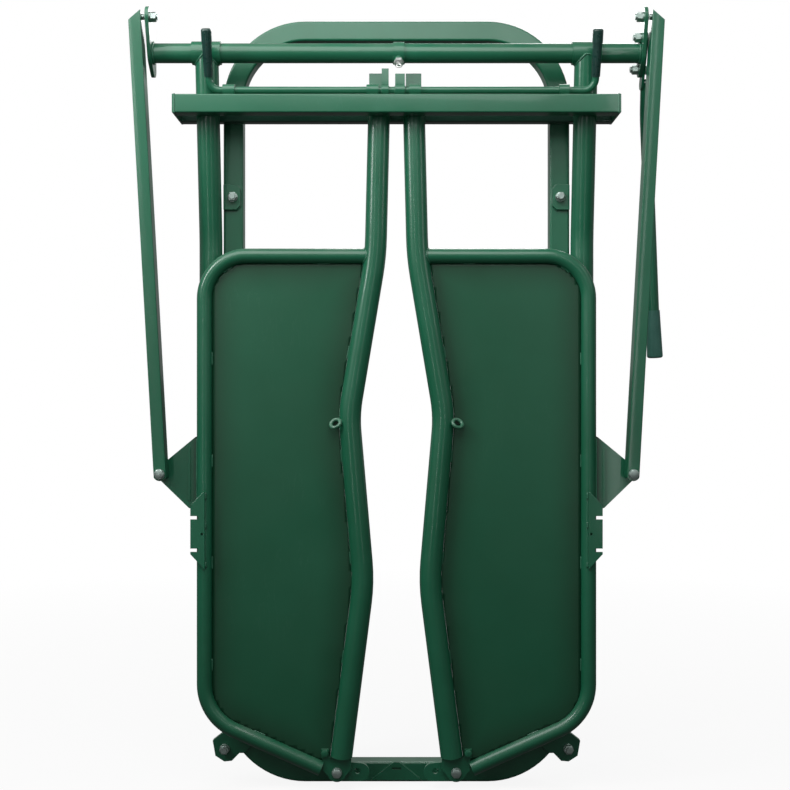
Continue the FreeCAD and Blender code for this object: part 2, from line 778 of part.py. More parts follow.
def stanchion_line():
    """The stanchion's centreline, from its top down."""
    places = (stanchion_top, stanchion_shoulder, stanchion_neck, stanchion_knee, stanchion_foot)
    return [V(x, door_y, z) for x, z in places], [shoulder_radius, neck_radius, knee_radius]


def stanchion():
    """The bent neck tube."""
    points, radii = stanchion_line()
    tube = bent_tube(points, radii, stanchion_dia, stanchion_wall)
    trim = box(0, door_side, door_y - stanchion_dia, door_y + stanchion_dia,
               pivot_plate_top + weld_gap, stanchion_top[1] - weld_gap)
    return tube.common(trim)


def stanchion_envelope():
    """The outside of the neck tube, a little proud, to cope other pieces against."""
    points, radii = stanchion_line()
    return swept(points, radii, stanchion_dia / 2 + weld_gap)


def catch_tab(place):
    """The cap on the stanchion's top with the tab that the latch dogs work on."""
    inner, width = place
    cap = rod(V(stanchion_top[0], door_y, stanchion_top[1]), Z_AXIS, stanchion_dia / 2 - root, cap_thick)
    plate = box(inner, inner + width, door_y - tab_thick / 2, door_y + tab_thick / 2,
                stanchion_top[1] + cap_thick / 2, tab_top)
    plate = plate.makeFillet(tab_round, [e for e in plate.Edges
                                   if e.BoundBox.ZMin > tab_top - 0.1 and e.BoundBox.XLength > 1])
    return joined([cap, plate])


def door_line():
    """The door tube's centreline, from the stanchion round to the pivot plate."""
    slope = math.tan(math.radians(door_low_slope))
    inner_z = door_low_corner - slope * (door_side - door_low_end)
    start = V(stanchion_shoulder[0] + door_cope, door_y, door_top)
    return [start, V(door_side, door_y, door_top), V(door_side, door_y, door_low_corner),
            V(door_low_end, door_y, inner_z)]


def door_tube_space():
    """The outside of the door tube, a little proud, to cope other pieces against."""
    return swept(door_line(), [door_top_radius, door_low_radius], frame_dia / 2 + weld_gap)


def door_frame():
    """The bent tube round the sheet, coped onto the stanchion."""
    tube = bent_tube(door_line(), [door_top_radius, door_low_radius], frame_dia, frame_wall)
    coped = tube.cut(stanchion_envelope())
    solids = sorted(coped.Solids, key=lambda s: s.Volume)
    return solids[-1]


def door_sheet():
    """The steel sheet, filling the space between the tube and the stanchion."""
    slope = math.tan(math.radians(door_low_slope))
    inner_z = door_low_corner - slope * (door_side - pivot_x)
    outline = [(0, door_top), (door_side, door_top), (door_side, door_low_corner),
               (pivot_x, inner_z), (0, inner_z)]
    sheet = in_xz(outline, door_y - sheet_thick / 2, sheet_thick)
    sheet = sheet.cut(door_tube_space()).cut(stanchion_envelope())
    sheet = sheet.cut(box(0, pivot_x + pivot_plate_half + weld_gap, door_y - sheet_thick,
                          door_y + sheet_thick, 0, pivot_plate_top + weld_gap))
    solids = sorted(sheet.Solids, key=lambda s: s.Volume)
    return solids[-1]


def link_bracket():
    """The pointed plate on the upright that the link pulls on, with a pressed crease beside the tube."""
    edge = door_side + frame_dia / 2 + weld_gap
    nose = V(link_foot_x, bracket_front, link_foot_z)
    top = V(edge + bracket_corner, bracket_front, bracket_top - bracket_corner)
    low = V(bracket_low_x, bracket_front, bracket_low + bracket_corner)
    upper = strap(nose, bracket_nose, top, bracket_corner, bracket_thick)
    lower = strap(nose, bracket_nose, low, bracket_corner, bracket_thick)
    web_points = [(edge, bracket_top), (edge, bracket_low), (bracket_low_x, bracket_low),
                  (link_foot_x, link_foot_z - bracket_nose), (link_foot_x, link_foot_z + bracket_nose)]
    web = in_xz(web_points, bracket_front, bracket_thick).common(
        in_xz([(edge, bracket_low), (bracket_low_x, bracket_low), (link_foot_x + bracket_nose, link_foot_z),
               (edge, bracket_top)], bracket_front, bracket_thick).fuse(joined([upper, lower])))
    crease = box(bracket_low_x - crease_width / 2, bracket_low_x + crease_width / 2,
                 bracket_front - crease_height, bracket_front + root,
                 bracket_low + crease_low, bracket_top - crease_high)
    plate = joined([web, upper, lower, crease])
    plate = plate.cut(door_tube_space())
    hole = rod(nose - Y_AXIS, Y_AXIS, bolt_dia / 2 + bore_gap, bracket_thick + 2)
    return plate.cut(hole)


def notch_plate():
    """The bevelled plate with two slots open to the outside."""
    front = door_y - frame_dia / 2 - weld_gap - notch_thick
    points = [(notch_inner, notch_top), (notch_outer, notch_top - notch_bevel),
              (notch_outer, notch_low + notch_bevel), (notch_inner, notch_low)]
    plate = in_xz(points, front, notch_thick)
    for height in (notch_upper_slot, notch_lower_slot):
        plate = plate.cut(box(notch_outer - notch_slot_depth, notch_outer + 1,
                              front - 1, front + notch_thick + 1,
                              height - notch_slot / 2, height + notch_slot / 2))
    hole = rod(V(door_side + notch_hole_reach, front - 1, (notch_upper_slot + notch_lower_slot) / 2), Y_AXIS,
               notch_hole_dia / 2, notch_thick + 2)
    return plate.cut(hole)


def neck_hook():
    """The small eye beside the neck bend."""
    centre = V(hook_x, door_y - hook_forward, hook_height)
    eye = Part.makeTorus(hook_ring, hook_rod, centre, V(*hook_facing))
    reach = hook_ring + 2 * hook_rod
    eye = eye.cut(stanchion_envelope())
    eye = eye.cut(box(hook_x - reach, hook_x + reach, door_y - sheet_thick / 2 - weld_gap, door_y + reach,
                      hook_height - reach, hook_height + reach))
    solids = sorted(eye.Solids, key=lambda s: s.Volume)
    return solids[-1]


def pivot_plate():
    """The plate at the stanchion's foot, round below its bolt."""
    x0 = pivot_x - pivot_plate_half
    x1 = pivot_x + pivot_plate_half
    chord = math.sqrt(pivot_boss ** 2 - (pivot_z - pivot_waist) ** 2)
    block = box(x0, x1, pivot_front, pivot_back, pivot_shoulder, pivot_plate_top)
    eye = rod(V(pivot_x, pivot_front, pivot_z), Y_AXIS, pivot_boss, pivot_plate_thick)
    cheeks = in_xz([(x0, pivot_shoulder), (x1, pivot_shoulder), (pivot_x + chord, pivot_waist),
                    (pivot_x - chord, pivot_waist)], pivot_front, pivot_plate_thick)
    body = joined([block, eye, cheeks])
    body = body.cut(door_tube_space())
    solids = sorted(body.Solids, key=lambda s: s.Volume)
    return solids[-1].cut(rod(V(pivot_x, pivot_front - 1, pivot_z), Y_AXIS, bolt_dia / 2 + bore_gap,
                              pivot_plate_thick + 2))


def foot_tab():
    """The small drilled tab above the bottom rail with its clamped bolt."""
    z0 = pivot_plate_top + weld_gap
    y0 = door_y - stop_tab_thick - sheet_thick / 2 - weld_gap
    tab = box(stop_tab_x - stop_tab_width / 2, stop_tab_x + stop_tab_width / 2, y0, y0 + stop_tab_thick,
              z0, stop_tab_z + stop_tab_width / 2)
    tab = tab.cut(door_tube_space()).cut(stanchion_envelope())
    tab = sorted(tab.Solids, key=lambda s: s.Volume)[-1]
    seat = V(stop_tab_x, y0, stop_tab_z)
    tab = tab.cut(rod(seat - Y_AXIS, Y_AXIS, small_bolt_dia / 2 + bore_gap, stop_tab_thick + 2))
    pin = bolt(seat, Y_AXIS, small_bolt_dia, small_bolt_flats, small_bolt_head, stop_tab_thick)
    return Part.makeCompound([tab, pin])


def link_frame():
    """The link's placement: its own Z runs from the foot bolt to the head pin."""
    along = link_head - link_foot
    lean = math.atan2(-along.y, math.hypot(along.x, along.z))
    swing = math.atan2(along.x, along.z)
    turn = FreeCAD.Rotation(Y_AXIS, math.degrees(swing)).multiply(
        FreeCAD.Rotation(X_AXIS, math.degrees(lean)))
    return FreeCAD.Placement(link_foot, turn), along.Length


def link():
    """The rectangular tube from the arm to the door, round at its foot and mitred at its head."""
    place, length = link_frame()
    w = link_width / 2
    d = link_depth / 2
    top = length + link_head_inner + link_width
    outer = box(-w, w, -d, d, -link_foot_end, top)
    outer = outer.makeFillet(link_edge, [e for e in outer.Edges if e.BoundBox.ZLength > length])
    outer = outer.cut(box(-w + link_wall, w - link_wall, -d + link_wall, d - link_wall,
                          -link_foot_end - 1, top + 1))
    rounding = rod(V(0, -d - 1, 0), Y_AXIS, link_foot_end, link_depth + 2)
    upright = box(-w - 1, w + 1, -d - 1, d + 1, 0, top + 1)
    outer = outer.common(rounding.fuse(upright))
    drop = link_head_inner - link_head_outer
    cut_points = [(-w - link_width, length + link_head_inner + drop),
                  (w + link_width, length + link_head_outer - drop),
                  (w + link_width, top + 2 * drop), (-w - link_width, top + 2 * drop)]
    outer = outer.cut(in_xz(cut_points, -d - 1, link_depth + 2))
    outer.Placement = place
    foot_hole = rod(V(link_foot.x, link_foot.y - link_depth, link_foot.z), Y_AXIS,
                    bolt_dia / 2 + link_tilt_gap, 2 * link_depth)
    head_hole = rod(V(link_inner - link_width, link_head.y, link_head.z), X_AXIS,
                    bolt_dia / 2 + bore_gap, 1.5 * link_width)
    return outer.cut(foot_hole).cut(head_hole)


def link_head_bolt():
    """The outer half of the link pin: its head sits inside the link's open end."""
    start = V(arm_outer + (link_gap + pin_split) / 2, link_head.y, link_head.z)
    seat = V(link_inner + link_wall + pin_head_stand, link_head.y, link_head.z)
    shank = rod(start, X_AXIS, bolt_dia / 2, seat.x - start.x + root)
    head = hexagon(seat, X_AXIS, bolt_flats, pin_head)
    return joined([shank, head])


def link_foot_bolt():
    """The bolt through the link's foot and the bracket, with its washers and nut."""
    seat = V(link_foot.x, link_foot.y - link_depth / 2 - link_tip_gap - washer_thick, link_foot.z)
    length = bracket_front + bracket_thick + nut_height + thread_end - seat.y
    main = bolt(seat, Y_AXIS, bolt_dia, bolt_flats, bolt_head, length)
    front = ring(seat, Y_AXIS, washer_dia / 2, bolt_dia / 2 + snug_gap, washer_thick)
    between = ring(V(seat.x, bracket_front - washer_thick, seat.z), Y_AXIS, small_washer_dia / 2,
                   bolt_dia / 2 + snug_gap, washer_thick - run_gap / 2)
    lock = nut(V(seat.x, door_y + run_gap, seat.z), Y_AXIS, bolt_flats, nut_height, bolt_dia)
    return Part.makeCompound([main, front, between, lock])


def side_nodes(name, make):
    """A piece that both sides have, as two nodes."""
    shape = make()
    return {"left_" + name: mirrored(shape), "right_" + name: shape}


def frame_nodes():
    """Everything that stands still."""
    gate_bow = bow()
    upper_bolt = upper_lug_bolt()
    lower_bolt = lower_lug_bolt()
    for centre in (upper_bolt, V(-upper_bolt.x, 0, upper_bolt.z)):
        gate_bow = gate_bow.cut(lug_hole(centre))
    nodes = {"bow": gate_bow, "front_rail": rail(front_rail_front, front_rail_back),
             "rear_rail": rail(rear_rail_front, bow_front - weld_gap)}
    cap = box(rail_half - end_plate + weld_gap, rail_half, front_rail_front, bow_front - weld_gap,
              rail_bottom, rail_top)
    nodes.update({"left_rail_end_plate": mirrored(cap), "right_rail_end_plate": cap})
    nodes.update(side_nodes("post", post))
    nodes.update(side_nodes("bearing_sleeve", bearing_sleeve))
    nodes.update(side_nodes("base_lug", base_lug))
    nodes.update(side_nodes("pivot_bolt", pivot_bolt))
    upper = upper_lug()
    lower = lower_lug()
    nodes["upper_lugs"] = Part.makeCompound([upper, mirrored(upper)])
    nodes["lower_lugs"] = Part.makeCompound([lower, mirrored(lower)])
    upper_back = bow_tube / 2
    lower_back = bow_front + lug_thick
    studs = [mounting_stud(upper_bolt, upper_back), mounting_stud(lower_bolt, lower_back)]
    fixings = mounting_nuts(upper_bolt, upper_back) + mounting_nuts(lower_bolt, lower_back)
    nodes["mounting_studs"] = Part.makeCompound(studs + [mirrored(s) for s in studs])
    nodes["mounting_nuts"] = Part.makeCompound(fixings + [mirrored(s) for s in fixings])
    nodes["centre_gusset"] = centre_gusset()
    nodes["rod_guides"] = rod_guides()
    return nodes


def shaft_nodes():
    """Everything that turns with the shaft."""
    tube = ring(V(-arm_inner + weld_gap, shaft_y, shaft_height), X_AXIS, shaft_dia / 2,
                shaft_dia / 2 - shaft_wall, 2 * (arm_inner - weld_gap))
    nodes = {"shaft": tube, "left_arm": mirrored(arm()), "right_arm": right_arm(),
             "handle": handle(), "handle_grip": handle_grip(), "handle_bolts": handle_bolts(),
             "trigger_band": trigger_band(), "trigger_bolt": trigger_bolt()}
    nodes.update(side_nodes("arm_pin", arm_pin))
    return nodes


def latch_nodes():
    """Everything that turns with the latch rod."""
    return {"latch_rod": latch_rod(), "left_latch_grip": latch_grip(-1), "right_latch_grip": latch_grip(1),
            "left_latch_dog": latch_dog(dog_places[0]), "right_latch_dog": latch_dog(dog_places[1])}


def door_nodes():
    """The pieces of both doors."""
    nodes = {}
    for name, make in (("stanchion", stanchion), ("door_frame", door_frame), ("door_sheet", door_sheet),
                       ("link_bracket", link_bracket), ("notch_plate", notch_plate), ("neck_hook", neck_hook),
                       ("pivot_plate", pivot_plate), ("foot_tab", foot_tab)):
        nodes.update(side_nodes(name, make))
    nodes["left_catch_tab"] = mirrored(catch_tab(left_tab))
    nodes["right_catch_tab"] = catch_tab(right_tab)
    return nodes


def link_nodes():
    """The links and their bolts."""
    nodes = {}
    for name, make in (("link", link), ("link_head_bolt", link_head_bolt),
                       ("link_foot_bolt", link_foot_bolt)):
        nodes.update(side_nodes(name, make))
    return nodes


def main():
    """Build every node and write it."""
    os.makedirs("parts", exist_ok=True)
    nodes = {}
    for group in (frame_nodes, shaft_nodes, latch_nodes, door_nodes, link_nodes):
        nodes.update(group())
    for name, shape in nodes.items():
        solids = len(shape.Solids)
        print(f"{name}: {solids} solid(s), {shape.Volume / 1000:.1f} cm3, valid {shape.isValid()}")
        shape.exportStep(os.path.join("parts", name + ".step"))
    print("shaft", shaft_y, shaft_height, "door plane", door_y, "rod", rod_y, rod_z)
    print("link foot", link_foot, "link head", link_head, "nodes", len(nodes))


main()
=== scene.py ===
"""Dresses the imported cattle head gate: enamel, zinc, rubber, weld beads and a plain studio.

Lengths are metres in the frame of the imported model: X to the right, Y back, Z up.
"""

import json
import logging
import math
from collections.abc import Callable, Sequence
from dataclasses import dataclass, replace
from enum import Enum

import bmesh
import bpy
import numpy as np
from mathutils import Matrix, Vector

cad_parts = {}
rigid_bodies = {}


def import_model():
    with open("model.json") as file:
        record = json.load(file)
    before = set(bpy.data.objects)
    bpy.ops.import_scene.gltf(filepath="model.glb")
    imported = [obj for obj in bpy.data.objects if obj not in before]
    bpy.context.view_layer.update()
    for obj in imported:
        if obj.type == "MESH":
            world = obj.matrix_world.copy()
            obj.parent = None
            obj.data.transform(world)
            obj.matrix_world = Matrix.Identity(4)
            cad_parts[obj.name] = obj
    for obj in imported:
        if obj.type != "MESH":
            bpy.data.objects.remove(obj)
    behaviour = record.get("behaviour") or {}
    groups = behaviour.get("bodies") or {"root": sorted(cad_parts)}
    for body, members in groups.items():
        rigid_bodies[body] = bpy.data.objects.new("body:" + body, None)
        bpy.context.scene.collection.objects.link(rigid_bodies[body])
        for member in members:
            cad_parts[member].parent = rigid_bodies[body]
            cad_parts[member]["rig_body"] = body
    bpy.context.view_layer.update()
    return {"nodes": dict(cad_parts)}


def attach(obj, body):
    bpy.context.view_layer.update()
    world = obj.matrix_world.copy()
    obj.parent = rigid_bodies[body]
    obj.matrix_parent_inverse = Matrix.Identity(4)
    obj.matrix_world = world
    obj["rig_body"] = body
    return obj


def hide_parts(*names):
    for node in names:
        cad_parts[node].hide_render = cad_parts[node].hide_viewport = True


LOG = logging.getLogger("head_gate")
MM = 0.001
WHITE = (1.0, 1.0, 1.0, 1.0)
TUBE_DISTANCE = "tube_distance"
VECTOR, NUMBER, COLOUR = "NodeSocketVector", "NodeSocketFloat", "NodeSocketColor"
Pair = tuple[float, float]
Triple = tuple[float, float, float]
Socket = bpy.types.NodeSocket
Distance = Callable[[np.ndarray], np.ndarray]


class Side(Enum):
    """The two halves of the gate, with the sign of X on each."""

    LEFT = -1
    RIGHT = 1

    @property
    def word(self) -> str:
        """The word that starts the names of this side's nodes."""
        return self.name.lower()


class Noise(Enum):
    """The roles that a noise texture plays, with its detail and roughness."""

    BROAD = (2.0, 0.5)
    CLOUDY = (5.0, 0.55)
    FINE = (8.0, 0.6)


def placed(name: str, data: bpy.types.ID) -> bpy.types.Object:
    """Puts a new object in the scene, at the origin.

    Args:
        name: Its name.
        data: Its mesh, light or camera.

    Returns:
        The object.
    """
    made = bpy.data.objects.new(name, data)
    bpy.context.scene.collection.objects.link(made)
    return made


class NodeTree:
    """A short way to write shader nodes."""

    def __init__(self, tree: bpy.types.NodeTree) -> None:
        """Wraps a node tree.

        Args:
            tree: A material's, world's or group's node tree.
        """
        self.tree = tree

    def add(self, kind: str, **settings: object) -> bpy.types.Node:
        """Adds a node.

        Args:
            kind: The node's type name.
            settings: Properties of the node, or plain values of its named inputs.

        Returns:
            The new node.
        """
        node = self.tree.nodes.new(kind)
        for name, value in settings.items():
            if hasattr(node, name):
                setattr(node, name, value)
            else:
                node.inputs[name.replace("_", " ")].default_value = value
        return node

    def link(self, source: Socket, target: Socket) -> None:
        """Joins an output to an input."""
        self.tree.links.new(source, target)

    @classmethod
    def emptied(cls, owner: bpy.types.ID) -> "NodeTree":
        """Clears the node tree of a material or world.

        Args:
            owner: The material or world.

        Returns:
            The tree's writer.
        """
        owner.use_nodes = True
        owner.node_tree.nodes.clear()
        return cls(owner.node_tree)

    def feed(self, value: object, target: Socket) -> None:
        """Joins a socket to an input, or sets a plain value on it.

        Args:
            value: A socket, a number or a colour.
            target: The input.
        """
        if isinstance(value, Socket):
            self.link(value, target)
        else:
            target.default_value = (*value, 1.0) if isinstance(value, tuple) else value

    def maths(self, operation: str, first: object, second: object = 0.0) -> Socket:
        """One arithmetic step.

        Args:
            operation: The Math node's operation.
            first: A socket or a number.
            second: A socket or a number.

        Returns:
            The result's socket.
        """
        node = self.tree.nodes.new("ShaderNodeMath")
        node.operation = operation
        for index, value in enumerate((first, second)):
            self.feed(value, node.inputs[index])
        return node.outputs[0]

    def span(self, value: Socket, low: float, high: float, to_low: float = 0.0,
             to_high: float = 1.0) -> Socket:
        """Maps a value from one range to another and clamps it.

        Args:
            value: The socket to map.
            low: The value that becomes to_low.
            high: The value that becomes to_high.
            to_low: The result at low.
            to_high: The result at high.

        Returns:
            The mapped socket.
        """
        node = self.tree.nodes.new("ShaderNodeMapRange")
        self.link(value, node.inputs["Value"])
        for name, number in (("From Min", low), ("From Max", high), ("To Min", to_low), ("To Max", to_high)):
            node.inputs[name].default_value = number
        return node.outputs["Result"]

    def noise(self, vector: Socket, scale: object, role: Noise) -> Socket:
        """Noise between 0 and 1.

        Args:
            vector: The coordinates.
            scale: Waves per metre, a number or a socket.
            role: How broken up the noise is.

        Returns:
            The noise value's socket.
        """
        detail, roughness = role.value
        node = self.add("ShaderNodeTexNoise", Detail=detail, Roughness=roughness)
        self.link(vector, node.inputs["Vector"])
        self.feed(scale, node.inputs["Scale"])
        return node.outputs["Fac"]

    def mixed(self, share: Socket, first: object, second: object) -> Socket:
        """A colour between two others.

        Args:
            share: 0 for the first colour and 1 for the second.
            first: A colour or a socket.
            second: A colour or a socket.

        Returns:
            The mixed colour's socket.
        """
        node = self.tree.nodes.new("ShaderNodeMix")
        node.data_type = "RGBA"
        self.link(share, node.inputs["Factor"])
        for name, value in (("A", first), ("B", second)):
            self.feed(value, next(s for s in node.inputs if s.name == name and s.type == "RGBA"))
        return next(s for s in node.outputs if s.type == "RGBA")


class Effects:
    """The shader groups that the finishes share, each with the numbers that shape it."""

    clouds: Pair = (0.7, 0.3)
    finer_scale: float = 7.0
    dusty_slope: Pair = (0.25, 0.95)
    dust_cloud: Pair = (0.35, 0.7)
    # Painted shade beside tubes and in the header slot, with real dirt on the sheets: its falloff and its
    # noise.
    grime_fall: float = 1.6
    grime_cloud_scale: float = 9.0
    grime_cloud: Pair = (0.2, 0.8)
    grime_left: Pair = (0.65, 1.0)
    scuff_stretch: Triple = (1.0, 1.0, 0.22)
    scuff_turn: Triple = (0.3, 0.5, 0.2)
    scuff_width: float = 0.012
    patch_scale: float = 0.12
    patch_edge: Pair = (0.56, 0.66)

    def __init__(self) -> None:
        """Builds each group once."""
        self.mottling = self._mottling()
        self.grain = self._grain()
        self.dust = self._dust()
        self.scuffs = self._scuffs()
        self.grime = self._shade_and_grime()

    @staticmethod
    def _group(name: str, inputs: dict[str, str],
               outputs: dict[str, str]) -> tuple[bpy.types.NodeTree, NodeTree]:
        """An empty group with its sockets.

        Args:
            name: The group's name.
            inputs: Each input's name and socket type.
            outputs: Each output's name and socket type.

        Returns:
            The group and its writer.
        """
        tree = bpy.data.node_groups.new(name, "ShaderNodeTree")
        for direction, sockets in (("INPUT", inputs), ("OUTPUT", outputs)):
            for label, kind in sockets.items():
                tree.interface.new_socket(name=label, in_out=direction, socket_type=kind)
        return tree, NodeTree(tree)

    def _mottling(self) -> bpy.types.NodeTree:
        """Paint that varies softly: broad clouds between two tints, broken by finer clouds.

        Returns:
            The group, with a Colour output.
        """
        tree, write = self._group("mottling", {
            "Vector": VECTOR, "Scale": NUMBER, "Contrast": NUMBER, "Light": COLOUR, "Deep": COLOUR},
            {"Colour": COLOUR})
        source = write.add("NodeGroupInput").outputs
        broad = write.noise(source["Vector"], source["Scale"], Noise.BROAD)
        finer_scale = write.maths("MULTIPLY", source["Scale"], self.finer_scale)
        finer = write.noise(source["Vector"], finer_scale, Noise.CLOUDY)
        both = write.maths("ADD", write.maths("MULTIPLY", broad, self.clouds[0]),
                           write.maths("MULTIPLY", finer, self.clouds[1]))
        centred = write.maths("SUBTRACT", both, 0.5)
        share = write.maths("ADD", write.maths("MULTIPLY", centred, source["Contrast"]), 0.5)
        clamped = write.span(share, 0.0, 1.0)
        sink = write.add("NodeGroupOutput").inputs
        write.link(write.mixed(clamped, source["Deep"], source["Light"]), sink["Colour"])
        return tree

    def _grain(self) -> bpy.types.NodeTree:
        """The height of a fine skin: the ripple of sprayed paint or the grain of rubber, over slow waves.

        Returns:
            The group, with a Height output.
        """
        tree, write = self._group("grain", {
            "Vector": VECTOR, "Scale": NUMBER, "Fine": NUMBER,
            "Wave Scale": NUMBER, "Wave": NUMBER}, {"Height": NUMBER})
        source = write.add("NodeGroupInput").outputs
        fine = write.noise(source["Vector"], source["Scale"], Noise.FINE)
        wave = write.noise(source["Vector"], source["Wave Scale"], Noise.BROAD)
        height = write.maths("ADD", write.maths("MULTIPLY", fine, source["Fine"]),
                             write.maths("MULTIPLY", wave, source["Wave"]))
        write.link(height, write.add("NodeGroupOutput").inputs["Height"])
        return tree

    def _dust(self) -> bpy.types.NodeTree:
        """Where dust settles: faces that look up, broken up by noise.

        Returns:
            The group, with a Mask output.
        """
        tree, write = self._group("settled_dust", {
            "Vector": VECTOR, "Facing": VECTOR, "Scale": NUMBER,
            "Amount": NUMBER}, {"Mask": NUMBER})
        source = write.add("NodeGroupInput").outputs
        parts = write.add("ShaderNodeSeparateXYZ")
        write.link(source["Facing"], parts.inputs[0])
        upward = write.span(parts.outputs["Z"], *self.dusty_slope)
        cloud = write.span(write.noise(source["Vector"], source["Scale"], Noise.CLOUDY), *self.dust_cloud)
        mask = write.maths("MULTIPLY", write.maths("MULTIPLY", upward, cloud), source["Amount"])
        write.link(mask, write.add("NodeGroupOutput").inputs["Mask"])
        return tree

    def _shade_and_grime(self) -> bpy.types.NodeTree:
        """Painted shade beside a tube or a face, mixed with real dirt on the sheets: strong at its edge and
        fading with distance, broken by noise.

        Returns:
            The group, with a Mask output.
        """
        tree, write = self._group("grime", {
            "Vector": VECTOR, "Distance": NUMBER, "Reach": NUMBER,
            "Amount": NUMBER}, {"Mask": NUMBER})
        source = write.add("NodeGroupInput").outputs
        near = write.maths("SUBTRACT", 1.0, write.maths("DIVIDE", source["Distance"], source["Reach"]))
        soft = write.maths("POWER", write.span(near, 0.0, 1.0), self.grime_fall)
        cloud = write.span(write.noise(source["Vector"], self.grime_cloud_scale, Noise.CLOUDY),
                           *self.grime_cloud, *self.grime_left)
        mask = write.maths("MULTIPLY", write.maths("MULTIPLY", soft, cloud), source["Amount"])
        write.link(mask, write.add("NodeGroupOutput").inputs["Mask"])
        return tree

    def _scuffs(self) -> bpy.types.NodeTree:
        """Small rubs: the crests of a stretched noise, kept only in patches.

        Returns:
            The group, with a Mask output.
        """
        tree, write = self._group("scuffs", {
            "Vector": VECTOR, "Scale": NUMBER, "Amount": NUMBER},
            {"Mask": NUMBER})
        source = write.add("NodeGroupInput").outputs
        stretch = write.add("ShaderNodeMapping")
        stretch.inputs["Scale"].default_value = self.scuff_stretch
        stretch.inputs["Rotation"].default_value = self.scuff_turn
        write.link(source["Vector"], stretch.inputs["Vector"])
        streak = write.noise(stretch.outputs[0], source["Scale"], Noise.FINE)
        crest = write.maths("ABSOLUTE", write.maths("SUBTRACT", streak, 0.5))
        line = write.span(crest, 0.0, self.scuff_width, 1.0, 0.0)
        patch_scale = write.maths("MULTIPLY", source["Scale"], self.patch_scale)
        kept = write.span(write.noise(source["Vector"], patch_scale, Noise.BROAD), *self.patch_edge)
        mask = write.maths("MULTIPLY", write.maths("MULTIPLY", line, kept), source["Amount"])
        write.link(mask, write.add("NodeGroupOutput").inputs["Mask"])
        return tree


@dataclass(frozen=True)
class Finish:
    """One finish of the gate: its tints, gloss and skin."""

    name: str
    light: Triple
    deep: Triple
    slot: str
    roughness: float = 0.3
    roughness_spread: float = 0.06
    metallic: float = 0.0
    coat: float = 0.0
    coat_roughness: float = 0.1
    specular: float = 0.5
    mottle_scale: float = 2.2
    mottle_contrast: float = 2.0
    grain_scale: float = 700.0
    grain_depth: float = 0.04
    wave_scale: float = 9.0
    wave_depth: float = 0.0
    bump: float = 0.3
    gloss_scale: float = 5.0
    gloss_cloud: Pair = (0.3, 0.7)
    dust: Triple = (0.30, 0.33, 0.29)
    dust_amount: float = 0.25
    dust_scale: float = 14.0
    dust_roughness: float = 0.35
    scuff: Triple = (0.16, 0.30, 0.23)
    scuff_amount: float = 0.06
    scuff_scale: float = 26.0
    # The colour, strength and reach of painted shade beside tubes and in the slot, with real dirt on the
    # sheets.
    grime: Triple = (0.003, 0.028, 0.010)
    grime_amount: float = 0.0
    grime_reach: float = 0.075

    def _effect(self, write: NodeTree, group: bpy.types.NodeTree, vector: Socket,
                **values: object) -> bpy.types.Node:
        """Places a shared group with this finish's own values.

        Args:
            write: The material's writer.
            group: The shared group.
            vector: The coordinates' socket.
            values: The group's other inputs.

        Returns:
            The group's node.
        """
        node = write.tree.nodes.new("ShaderNodeGroup")
        node.node_tree = group
        write.link(vector, node.inputs["Vector"])
        for name, value in values.items():
            write.feed(value, node.inputs[name.replace("_", " ")])
        return node

    def material(self, effects: Effects) -> bpy.types.Material:
        """Builds the finish.

        Args:
            effects: The shared groups.

        Returns:
            The material.
        """
        made = bpy.data.materials.new(self.name)
        write = NodeTree.emptied(made)
        place = write.add("ShaderNodeTexCoord").outputs["Object"]
        facing = write.add("ShaderNodeNewGeometry").outputs["Normal"]
        mottled = self._effect(write, effects.mottling, place, Scale=self.mottle_scale,
                               Contrast=self.mottle_contrast, Light=self.light, Deep=self.deep)
        scuffed = self._effect(write, effects.scuffs, place, Scale=self.scuff_scale, Amount=self.scuff_amount)
        dusted = self._effect(write, effects.dust, place, Facing=facing, Scale=self.dust_scale,
                              Amount=self.dust_amount)
        skin = self._effect(write, effects.grain, place, Scale=self.grain_scale, Fine=self.grain_depth,
                            Wave_Scale=self.wave_scale, Wave=self.wave_depth)
        rubbed = write.mixed(scuffed.outputs["Mask"], mottled.outputs["Colour"], self.scuff)
        colour = write.mixed(dusted.outputs["Mask"], rubbed, self.dust)
        # Darkens the colour with painted shade near the tube or face, mixed with real dirt on the sheets.
        if self.grime_amount:
            reach = write.add("ShaderNodeAttribute", attribute_name=TUBE_DISTANCE).outputs["Fac"]
            shade_and_dirt = self._effect(write, effects.grime, place, Distance=reach, Reach=self.grime_reach,
                                 Amount=self.grime_amount)
            colour = write.mixed(shade_and_dirt.outputs["Mask"], colour, self.grime)
        cloud = write.noise(place, self.mottle_scale * self.gloss_scale, Noise.CLOUDY)
        gloss = write.span(cloud, *self.gloss_cloud, self.roughness - self.roughness_spread,
                           self.roughness + self.roughness_spread)
        dull = write.maths("MULTIPLY", dusted.outputs["Mask"], self.dust_roughness)
        rougher = write.maths("ADD", gloss, dull)
        bump = write.add("ShaderNodeBump", Strength=self.bump, Distance=MM)
        write.link(skin.outputs["Height"], bump.inputs["Height"])
        shader = write.add("ShaderNodeBsdfPrincipled")
        write.link(colour, shader.inputs["Base Color"])
        write.link(rougher, shader.inputs["Roughness"])
        write.link(bump.outputs["Normal"], shader.inputs["Normal"])
        for name, value in (("Metallic", self.metallic), ("Coat Weight", self.coat),
                            ("Coat Roughness", self.coat_roughness), ("Specular IOR Level", self.specular)):
            shader.inputs[name].default_value = value
        output = write.add("ShaderNodeOutputMaterial")
        write.link(shader.outputs["BSDF"], output.inputs["Surface"])
        return made


